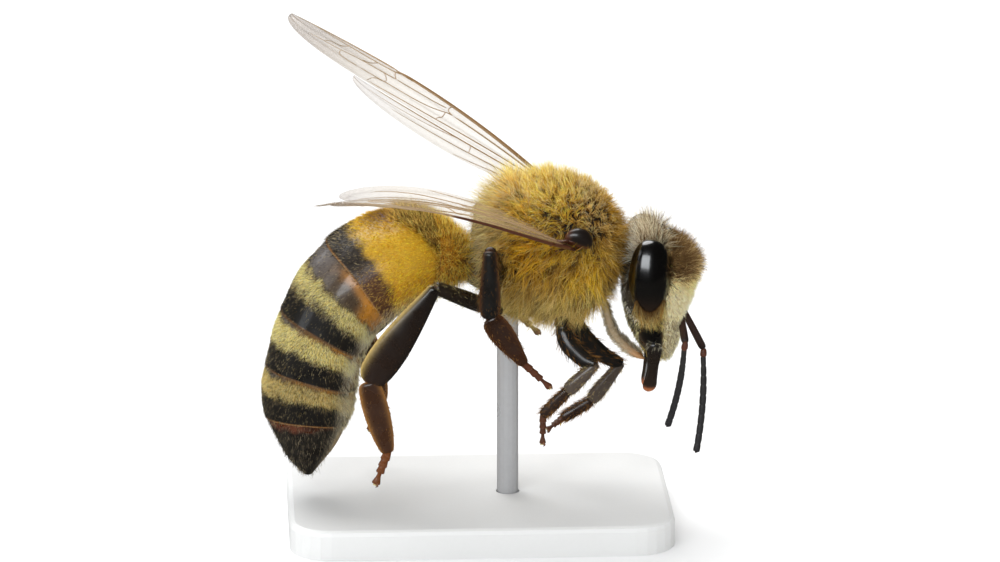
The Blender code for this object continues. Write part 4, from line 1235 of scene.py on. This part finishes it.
def leg_hair(name, part_name, form, tone_pair, size, count, seed):
    """Stiff short hairs along a leg's joint, longer at its edges."""
    def recipe(spots, normals, share, turn, rng):
        ahead = form(np.minimum(share + 0.03, 1), turn) - form(np.maximum(share - 0.03, 0), turn)
        edge = np.abs(np.cos(turn)) ** 2
        tone = between(*tone_pair, rng, len(share))
        return {"length": size * (0.55 + 0.65 * edge), "width": 0.013, "lie": unit(ahead) + 1e-6,
                "stand": 0.20 + 0.16 * edge, "tone": tone * 0.75, "tip": tone, "stray": 0.12,
                "sink": 0.01}
    coat(name + "_hair_" + part_name, form, count,
         lambda spots, normals, share, turn: 0.45 + np.abs(np.cos(turn)) ** 2, recipe, seed, "leg_shell")


def build_leg(label, seed):
    pair, name = label.split("_")[0], "leg_" + label
    points = [np.asarray(point, float) for point in LEGS[label]]
    widths, tone_pairs = LEG_WIDTHS[pair], LEG_TONES[pair]
    forms = []
    for k, joint in enumerate(LEG_JOINTS):
        way = unit(points[k + 1] - points[k])
        rows = limb_rows(points[k] - way * 0.03, points[k + 1] + way * 0.05, LEG_PROFILES[pair][k],
                         *widths[k], LEG_BOWS[pair][k])
        forms.append(limb_form(rows, LEG_BROAD))
        bend = ORANGE_BEND if (pair, joint) == ("hind", "basitarsus") else RUST_BEND
        piece = pulled_ball(name + "_" + joint + "_shell", 48, 44, forms[k],
                            graded(*tone_pairs[k], edges=LEG_EDGES[pair][k], bend=bend))
        settle(piece, LEG_SHELL, "leg_shell", name + "_" + joint)
    start, end = points[3:]
    foot = end - start
    toes, begin = [], 0.0
    toe_tone = graded(*tone_pairs[3], reach=0.2)
    for stop, size in TOES:
        rows = limb_rows(start + foot * (begin - 0.05), start + foot * stop,
                         LAST_TOE if stop == TOES[-1][0] else TOE, widths[3][0] * size, widths[3][1])
        toes.append(pulled_ball("toe", 16, 14, limb_form(rows, LEG_BROAD), toe_tone))
        begin = stop
    over = unit(np.cross(unit(foot), (0.0, 1.0, 0.0)))
    for spread in (-1, 1):
        out = np.array((0.0, spread, 0.0))
        rows = limb_rows(start + foot * 0.90 + out * 0.04, end + out * 0.10, HOOK, 0.035, 0.035,
                         over * 0.05 + out * 0.04)
        toes.append(pulled_ball("claw", 10, 10, limb_form(rows, CLAW_BROAD), graded(CLAW, UMBER, 0.2)))
    pad = limb_rows(start + foot * 0.90, start + foot * 0.985, TOE, 0.07, 0.05)
    toes.append(pulled_ball("pad", 12, 8, limb_form(pad, LEG_BROAD), graded(SAND * 0.7, SAND * 0.5)))
    settle(joined(name + "_toes", toes), LEG_SHELL, "leg_shell", name + "_tarsus")
    if pair == "fore":
        rows = limb_rows(start - unit(start - points[2]) * 0.10, start + np.array((-0.06, 0.0, -0.26)),
                         HOOK, 0.045, 0.03, (-0.06, 0.0, 0.0))
        spur = pulled_ball(name + "_spur", 12, 12, limb_form(rows, LEG_BROAD),
                           graded(SPUR_ROOT, SPUR_TIP))
        settle(spur, LEG_SHELL, "leg_shell")
    for k, part_name in enumerate(("thigh", "shin", "foot")):
        tone_pair, size, count = (column[k] for column in LEG_HAIR[pair])
        leg_hair(name, part_name, forms[k], tone_pair, size, count, seed + k)


# ---------------------------------------------------------------- feelers, jaws, tongue
FEELER_BROAD = (0, 1, 0.2)
SOCKET = tube((0.2, 0.8), (0.5, 1), (0.8, 0.8))
SCAPE = tube((0.04, 0.75), (0.12, 0.70), (0.3, 0.92), (0.8, 1.05), (0.96, 0.9))
PEDICEL = tube((0.15, 0.75), (0.6, 1.0), (0.9, 0.85))
WHIP_JOINTS, WHIP_HALF = 10, 0.092


def build_feeler(side_name):
    socket, elbow, tip = (np.array(point) for point in FEELERS[side_name])
    first, way = unit(elbow - socket), unit(tip - elbow)
    rings = [((k + part) / WHIP_JOINTS, size * (0.80 + 0.20 * min(k / 3.0, 1.0)))
             for k in range(WHIP_JOINTS)
             for part, size in ((0.04, 0.90), (0.22, 1.0), (0.78, 1.0), (0.96, 0.91))]
    rust = graded(STEM_RUST, STEM_PALE)

    def tubing(name, sides, cuts, tone, *rows):
        return pulled_ball(name, sides, cuts, limb_form(limb_rows(*rows), FEELER_BROAD), tone)
    stem = [tubing("socket", 16, 10, rust, socket - first * 0.14, socket + first * 0.10, SOCKET,
                   0.15, 0.15),
            tubing("scape", 20, 24, graded(STEM_ROOT, BLACK * 1.4, 0.15), socket, elbow, SCAPE,
                   0.10, 0.10)]
    whip = [tubing("whip", 20, 130, graded(SLATE, SLATE_TIP, 0.04), elbow + way * 0.20, tip,
                   tube(*rings[:-1], (0.985, 0.6)), WHIP_HALF, WHIP_HALF, (0.08, 0.0, 0.0)),
            tubing("pedicel", 20, 14, rust, elbow - way * 0.04, elbow + way * 0.22, PEDICEL,
                   WHIP_HALF, WHIP_HALF)]
    for name, pieces, node in (("stem", stem, "scape"), ("whip", whip, "flagellum")):
        settle(joined("feeler_" + side_name + "_" + name, pieces), FEELER, "feeler",
               "antenna_" + side_name + "_" + node)


def build_jaw(side, side_name):
    root, tip = np.array((2.74, side * 0.80, -2.50)), np.array((2.62, side * 0.14, -4.13))
    profile = ((0, 0.2, 0.2), (0.04, 0.75, 0.8), (0.16, 0.92, 1.0), (0.45, 0.66, 0.8), (0.70, 0.70, 0.62),
               (0.86, 0.80, 0.50), (0.95, 0.62, 0.36), (1, 0.15, 0.1))
    form = limb_form(limb_rows(root, tip, profile, 0.235, 0.18, (0.03, side * 0.12, 0)), (1, 0, 0.05))

    def tone(spots, share, turn):
        return blend(blend(BLACK * 1.3, JAW_BROWN, share), JAW_RED, ramp(share, 0.68, 0.82))
    jaw = pulled_ball("jaw_" + side_name, 32, 40, form, tone)
    settle(jaw, SHELL, "dark_shell", "mandible_" + side_name)

    def recipe(spots, normals, share, turn, rng):
        count = len(share)
        return {"length": 0.16, "width": 0.014, "lie": np.tile(unit(tip - root), (count, 1)),
                "stand": 0.2, "tone": np.tile(CREAM * 0.5, (count, 1)),
                "tip": np.tile(CREAM, (count, 1)), "stray": 0.2, "sink": 0.0}
    coat("jaw_brush_" + side_name, form, 60, lambda spots, normals, share, turn: hump(share, 0.13, 0.05),
         recipe, 71 + side, "dark_shell", pull=0.1)


def build_tongue():
    rows = [(x, 0.0, z, half_width, half_depth) for x, z, half_depth, half_width in TONGUE]
    rows = np.asarray(through(rows, np.linspace(0, len(rows) - 1, 12)))
    caps = np.sqrt(np.clip(1 - np.linspace(-1, 1, 12) ** 6, 0.01, 1))

    def blade(name, sides, offset, wide, deep):
        """One of the three long parts that lie side by side."""
        own = rows.copy()
        own[:, 1] += offset
        own[:, 3] *= wide * caps
        own[:, 4] *= deep * caps
        return own, pulled_ball(name, sides, 36, limb_form(own, (0, 1, 0)), tone)

    def tone(spots, share, turn):
        return blend(TONGUE_PALE, TONGUE_HORN, ramp(share, 0.5, 1.0))
    main, core = blade("tongue_core", 24, 0.0, 0.34, 0.50)
    pieces = [core] + [blade("tongue_blade", 20, side * 0.22, 0.26, 0.46)[1] for side in (-1, 1)]
    settle(joined("tongue", pieces), TONGUE_LOOK, "tongue", "proboscis")

    def recipe(spots, normals, share, turn, rng):
        shade = between(TONGUE_HAIR, CREAM, rng, len(share))
        return {"length": 0.20, "width": 0.020, "lie": np.tile((-0.6, 0.0, -0.3), (len(share), 1)),
                "stand": 0.4, "tone": shade * 0.7, "tip": shade, "stray": 0.15, "sink": 0.02}
    coat("tongue_hair", limb_form(main * np.array((1, 1, 1, 2.0, 1.0)), (0, 1, 0)), 1300, everywhere,
         recipe, 33, "tongue", rings=2, every=5, pull=0.3)


# ---------------------------------------------------------------- wings
def front_edge(share):
    return 0.62 * np.clip(np.sin(math.pi * share ** 0.9), 0, 1) ** 0.8


def hind_edge(share):
    broad = np.sin(np.clip(share / 0.72, 0, 1) * math.pi / 2) ** 1.15
    past = np.clip(share - 0.72, 0, 1) / 0.28
    return 2.32 * broad * np.sqrt(np.clip(1 - past ** 2.4, 0, 1))


def wing_point(side, share, across, lift=0.0):
    """A place on the wing: share of the forewing's length, millimetres behind the root-to-tip line."""
    span = unit(WING_SPAN[side])
    chord = np.array(WING_CHORD[side])
    chord = unit(chord - span * (chord @ span))
    face = unit(np.cross(span, chord) * side)
    turn = (share - 0.5) * WING_TWIST[side]
    lean = chord * np.cos(turn)[:, None] + face * np.sin(turn)[:, None]
    return (np.array(WING_ROOT[side]) + span * (share * FOREWING_LENGTH)[:, None] + lean * across[:, None]
            + face * (CAMBER * np.sin(math.pi * share) + lift)[:, None])


def forewing_place(side, share, over):
    """over runs 0 at the front edge to 1 at the hind edge."""
    share = np.clip(share, 0.004, 0.998)
    across = -front_edge(share) + over * (front_edge(share) + hind_edge(share) + 0.05)
    lift = 0.030 * np.sin(over * 19) * np.sin(math.pi * over) * ramp(share, 0.0, 0.3)
    return wing_point(side, share, across, lift)


def hindwing_place(side, share, over):
    share = np.clip(share, 0.01, 0.998)
    of_fore = share * HINDWING_LENGTH / FOREWING_LENGTH
    form = np.sin(np.clip(share / 0.5, 0, 1) * math.pi / 2) ** 0.9
    form = form * np.sqrt(np.clip(1 - (np.clip(share - 0.5, 0, 1) / 0.5) ** 2.2, 0, 1))
    front = hind_edge(of_fore) + WING_GAP * 0.3
    lift = 0.025 * np.sin(over * 13) * np.sin(math.pi * over) - 0.03
    return wing_point(side, of_fore, front + over * (HINDWING_CHORD * form + 0.04), lift)


# veins: places as (share, over), then half width at start and end
FORE_VEINS = (
    (((0.0, 0.10), (0.1, 0.03), (0.3, 0.012), (0.5, 0.008), (0.64, 0.008)), 0.078, 0.040),
    (((0.64, 0.008), (0.75, 0.008), (0.86, 0.01), (0.94, 0.02), (0.985, 0.10)), 0.034, 0.012),
    (((0.0, 0.32), (0.1, 0.15), (0.25, 0.085), (0.45, 0.055), (0.62, 0.035)), 0.052, 0.030),
    (((0.585, 0.03), (0.61, 0.045), (0.65, 0.04)), 0.050, 0.030),
    (((0.625, 0.05), (0.645, 0.115), (0.72, 0.145), (0.82, 0.125), (0.90, 0.07), (0.93, 0.02)),
     0.024, 0.014),
    (((0.02, 0.55), (0.15, 0.40), (0.30, 0.34), (0.42, 0.35)), 0.040, 0.026),
    (((0.42, 0.35), (0.445, 0.21), (0.445, 0.06)), 0.022, 0.020),
    (((0.45, 0.20), (0.50, 0.25), (0.56, 0.285), (0.62, 0.31)), 0.022, 0.018),
    (((0.645, 0.115), (0.635, 0.20), (0.62, 0.31)), 0.020, 0.018),
    (((0.62, 0.31), (0.66, 0.38), (0.735, 0.42), (0.80, 0.47), (0.86, 0.50), (0.91, 0.54)), 0.020, 0.010),
    (((0.70, 0.145), (0.715, 0.27), (0.735, 0.42)), 0.018, 0.016),
    (((0.80, 0.135), (0.815, 0.25), (0.86, 0.50)), 0.018, 0.014),
    (((0.66, 0.38), (0.635, 0.52), (0.635, 0.60)), 0.018, 0.016),
    (((0.42, 0.35), (0.46, 0.48), (0.53, 0.56), (0.635, 0.60), (0.72, 0.68)), 0.022, 0.014),
    (((0.80, 0.47), (0.79, 0.60), (0.755, 0.70), (0.72, 0.68)), 0.016, 0.014),
    (((0.01, 0.80), (0.15, 0.76), (0.30, 0.79), (0.44, 0.83), (0.56, 0.87), (0.665, 0.93)), 0.034, 0.014),
    (((0.44, 0.43), (0.435, 0.62), (0.44, 0.83)), 0.018, 0.016),
    (((0.635, 0.60), (0.66, 0.76), (0.665, 0.93)), 0.016, 0.012),
)
HIND_VEINS = (
    (((0.0, 0.10), (0.2, 0.04), (0.5, 0.02), (0.75, 0.02), (0.9, 0.04)), 0.040, 0.016),
    (((0.02, 0.42), (0.2, 0.38), (0.42, 0.40), (0.60, 0.54), (0.78, 0.66)), 0.030, 0.010),
    (((0.44, 0.05), (0.43, 0.22), (0.42, 0.40)), 0.016, 0.014),
    (((0.50, 0.04), (0.60, 0.20), (0.78, 0.30), (0.92, 0.36)), 0.016, 0.008),
    (((0.02, 0.75), (0.2, 0.72), (0.38, 0.82), (0.46, 0.92)), 0.022, 0.010),
)


def vein(side, place, path, near, far, on_fore):
    path = np.asarray(path, float)
    count = 4 * len(path)
    at = through(path, np.linspace(0, len(path) - 1, count))
    half = np.linspace(near, far, count) * (0.95 if near > 0.06 else 0.80)
    half = half * np.sqrt(np.clip(1 - np.linspace(-1, 1, count) ** 16, 0.05, 1))
    rows = np.column_stack((place(side, at[:, 0], at[:, 1]), half, half * 0.8))

    def tone(spots, share, turn):
        even = np.linspace(0, 1, count)
        along, thick = np.interp(share, even, at[:, 0]), np.interp(share, even, half)
        strong = ramp(thick, 0.016, 0.045) if on_fore else 0.5 * ramp(thick, 0.012, 0.04)
        shade = blend(VEIN_PALE, VEIN_DARK if side == RIGHT else VEIN_FAR, strong)
        return blend(shade, VEIN_TIP, ramp(along, 0.60, 0.95) * 0.85)
    return pulled_ball("vein", 8, count * 2, limb_form(rows, unit(WING_CHORD[side])), tone)


def film_tone(spots, along, over):
    tip = ramp(along, 0.55, 0.95)
    front = 1 - ramp(over, 0.02, 0.12)
    return blend(blend(FILM_PALE, FILM_TIP, tip), FILM_EDGE, 0.7 * front * (1 - tip))


def build_wing(side, side_name):
    for kind, place, veins in (("forewing", forewing_place, FORE_VEINS),
                               ("hindwing", hindwing_place, HIND_VEINS)):
        name = kind + "_" + side_name
        sheet = bent_sheet(name + "_film", 120, 36, lambda along, over: place(side, along, over),
                           film_tone, 0.010, 0.0)
        reach = (vertices_of(sheet) - np.array(WING_ROOT[side])) @ unit(WING_SPAN[side]) / FOREWING_LENGTH
        strength = 0.05 + 0.19 * ramp(reach, 0.50, 0.95) + 0.06 * (1 - ramp(reach, 0.02, 0.35))
        film = sheet.data.attributes.new("film", "FLOAT", "POINT")
        film.data.foreach_set("value", strength.astype(np.float32))
        settle(sheet, FILM, "membrane", name)
        lines = [vein(side, place, *line, kind == "forewing") for line in veins]
        settle(joined(name + "_veins", lines), VEIN, "membrane")


# the small hard plates at the wing's root: place from it, and size
KNOBS = (((-0.04, 0.24, 0.27), 0.16), ((-0.34, 0.30, 0.29), 0.12), ((-0.18, 0.31, 0.11), 0.12),
         ((0.16, 0.22, 0.09), 0.12), ((-0.56, 0.28, 0.21), 0.10), ((-0.42, 0.26, 0.03), 0.09))


def knob_tone(spots, share, turn):
    return blend(KNOB_DARK, KNOB_RUST, share)


def knob(middle, size, lean):
    def form(share, turn):
        up, out = np.cos(share * math.pi), np.sin(share * math.pi)
        thick = 0.50 + 0.14 * np.cos(5 * share)
        return middle + xyz(1.45 * size * up, 0.8 * size * out * np.cos(turn),
                            lean * up + thick * size * out * np.sin(turn))
    return pulled_ball("knob", 20, 16, form, knob_tone)


def build_cap(side, side_name):
    """The shell over the wing root, and the small hard plates that hinge the wing."""
    middle = np.array((CAP_AT[0], side * CAP_AT[1], CAP_AT[2]))

    def dome(share, turn):
        up, out = np.cos(share * math.pi), np.sin(share * math.pi) ** 0.8
        rise = np.sin(turn) * out * 0.275 - 0.08 * up ** 2
        return (middle + np.array((0.94, 0.0, -0.30)) * (up * 0.39)[:, None]
                + np.array((0, 1, 0)) * (np.cos(turn) * out * 0.20)[:, None]
                + np.array((0.28, 0.0, 0.92)) * rise[:, None])

    def tone(spots, share, turn):
        rusty = np.clip(ramp(share, 0.62, 0.90) + 0.8 * ramp(-np.sin(turn), 0.3, 0.9), 0, 1)
        return blend(CAP_DARK, CAP_RUST, rusty)
    cap = pulled_ball("cap_" + side_name, 36, 28, dome, tone)
    settle(cap, SHELL, "dark_shell", "tegula_" + side_name)
    root = np.array(WING_ROOT[side])
    knobs = [knob(root + np.array((x, y * side, z)), size, 0.7 * size * math.sin(9 * x))
             for (x, y, z), size in KNOBS]
    settle(joined("wing_hinge_" + side_name, knobs), SHELL, "dark_shell")


# ---------------------------------------------------------------- stand, floor, light, camera
WHITE = (1.0, 1.0, 1.0, 1.0)
LAMP_TINT = (0.93, 0.97, 1.0)
LAMP_TARGET, LAMP_DISTANCE = Vector((2.0, 0.0, 7.5)) * MM, 75 * MM
# each lamp's direction from the bee, width and height in metres, and power in watts
LAMPS = {"key": ((-0.38, -0.80, 0.47), 0.056, 0.028, 0.023),
         "side": ((-0.95, -0.10, 0.35), 0.030, 0.050, 0.005),
         "rim": ((-0.35, 0.75, 0.55), 0.05, 0.05, 0.006)}
SKY_FROM, SKY_STRENGTH, SKY_SPREAD = (-0.20, 0.42, 0.885), 1.95, math.radians(46)
# brightness of the room on surfaces, in reflections, and what the camera sees on top of it
ROOM_LIGHT, ROOM_REFLECTED, ROOM_SEEN = 0.65, 0.018, 0.38
CAMERA_AT = (-7.467, -153.785, 50.917)
CAMERA_TURN = (math.radians(74), 0, math.radians(-3))
LENS_LENGTH, SENSOR_WIDTH = 213.12, 36.0


def dress_stand():
    for name, look in (("stand_base", BOARD), ("stand_rod", STEEL)):
        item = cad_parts[name]
        item.data.materials.clear()
        item.data.materials.append(look)


def pale_floor():
    deselect()
    bpy.ops.mesh.primitive_plane_add(size=4.0, location=(0, 0, 0))
    floor = bpy.context.object
    floor.name = "floor"
    floor.data.materials.append(dim_in_reflections(finish(
        "floor_pale", 0.9, depth=0.01, coarse=60.0, fine=400.0, bump=0, colour=(0.93, 0.93, 0.93),
        rough_swing=0.02)))


def studio_light():
    world = bpy.data.worlds.new("studio")
    bpy.context.scene.world = world
    world.use_nodes = True
    tree = world.node_tree
    ray = shader_node(tree, "LightPath").outputs
    strength = shader_node(tree, "MapRange", Value=ray["Is Glossy Ray"], To_Min=ROOM_LIGHT,
                           To_Max=ROOM_REFLECTED)
    seen = shader_node(tree, "Math", "MULTIPLY_ADD", _0=ray["Is Camera Ray"], _1=ROOM_SEEN,
                       _2=strength.outputs["Result"])
    feed(tree, tree.nodes["Background"], Color=WHITE, Strength=seen.outputs[0])
    sky = bpy.data.lights.new("soft_sky", "SUN")
    sky.energy, sky.angle = SKY_STRENGTH, SKY_SPREAD
    placed("soft_sky", sky).rotation_euler = Vector(SKY_FROM).to_track_quat("Z", "Y").to_euler()
    for name, (way, width, height, power) in LAMPS.items():
        lamp = bpy.data.lights.new(name, "AREA")
        lamp.shape = "RECTANGLE"
        lamp.size, lamp.size_y, lamp.energy, lamp.color = width, height, power, LAMP_TINT
        item = placed(name, lamp)
        item.location = LAMP_TARGET + Vector(way).normalized() * LAMP_DISTANCE
        item.rotation_euler = (LAMP_TARGET - item.location).to_track_quat("-Z", "Y").to_euler()
        item.visible_camera = False


def camera():
    lens = bpy.data.cameras.new("camera")
    lens.sensor_width, lens.lens = SENSOR_WIDTH, LENS_LENGTH
    lens.clip_start, lens.clip_end = 0.001, 10.0
    item = placed("camera", lens)
    item.location = Vector(CAMERA_AT) * MM
    item.rotation_euler = CAMERA_TURN
    bpy.context.scene.camera = item


bpy.context.scene.view_settings.view_transform = "Standard"
camera()
pale_floor()
studio_light()
dress_stand()
build_thorax()
build_abdomen()
build_head()
build_tongue()
for side, side_name in SIDES:
    build_feeler(side_name)
    build_jaw(side, side_name)
    build_cap(side, side_name)
    build_wing(side, side_name)
for number, label in enumerate(LEGS):
    build_leg(label, 100 + 10 * number)
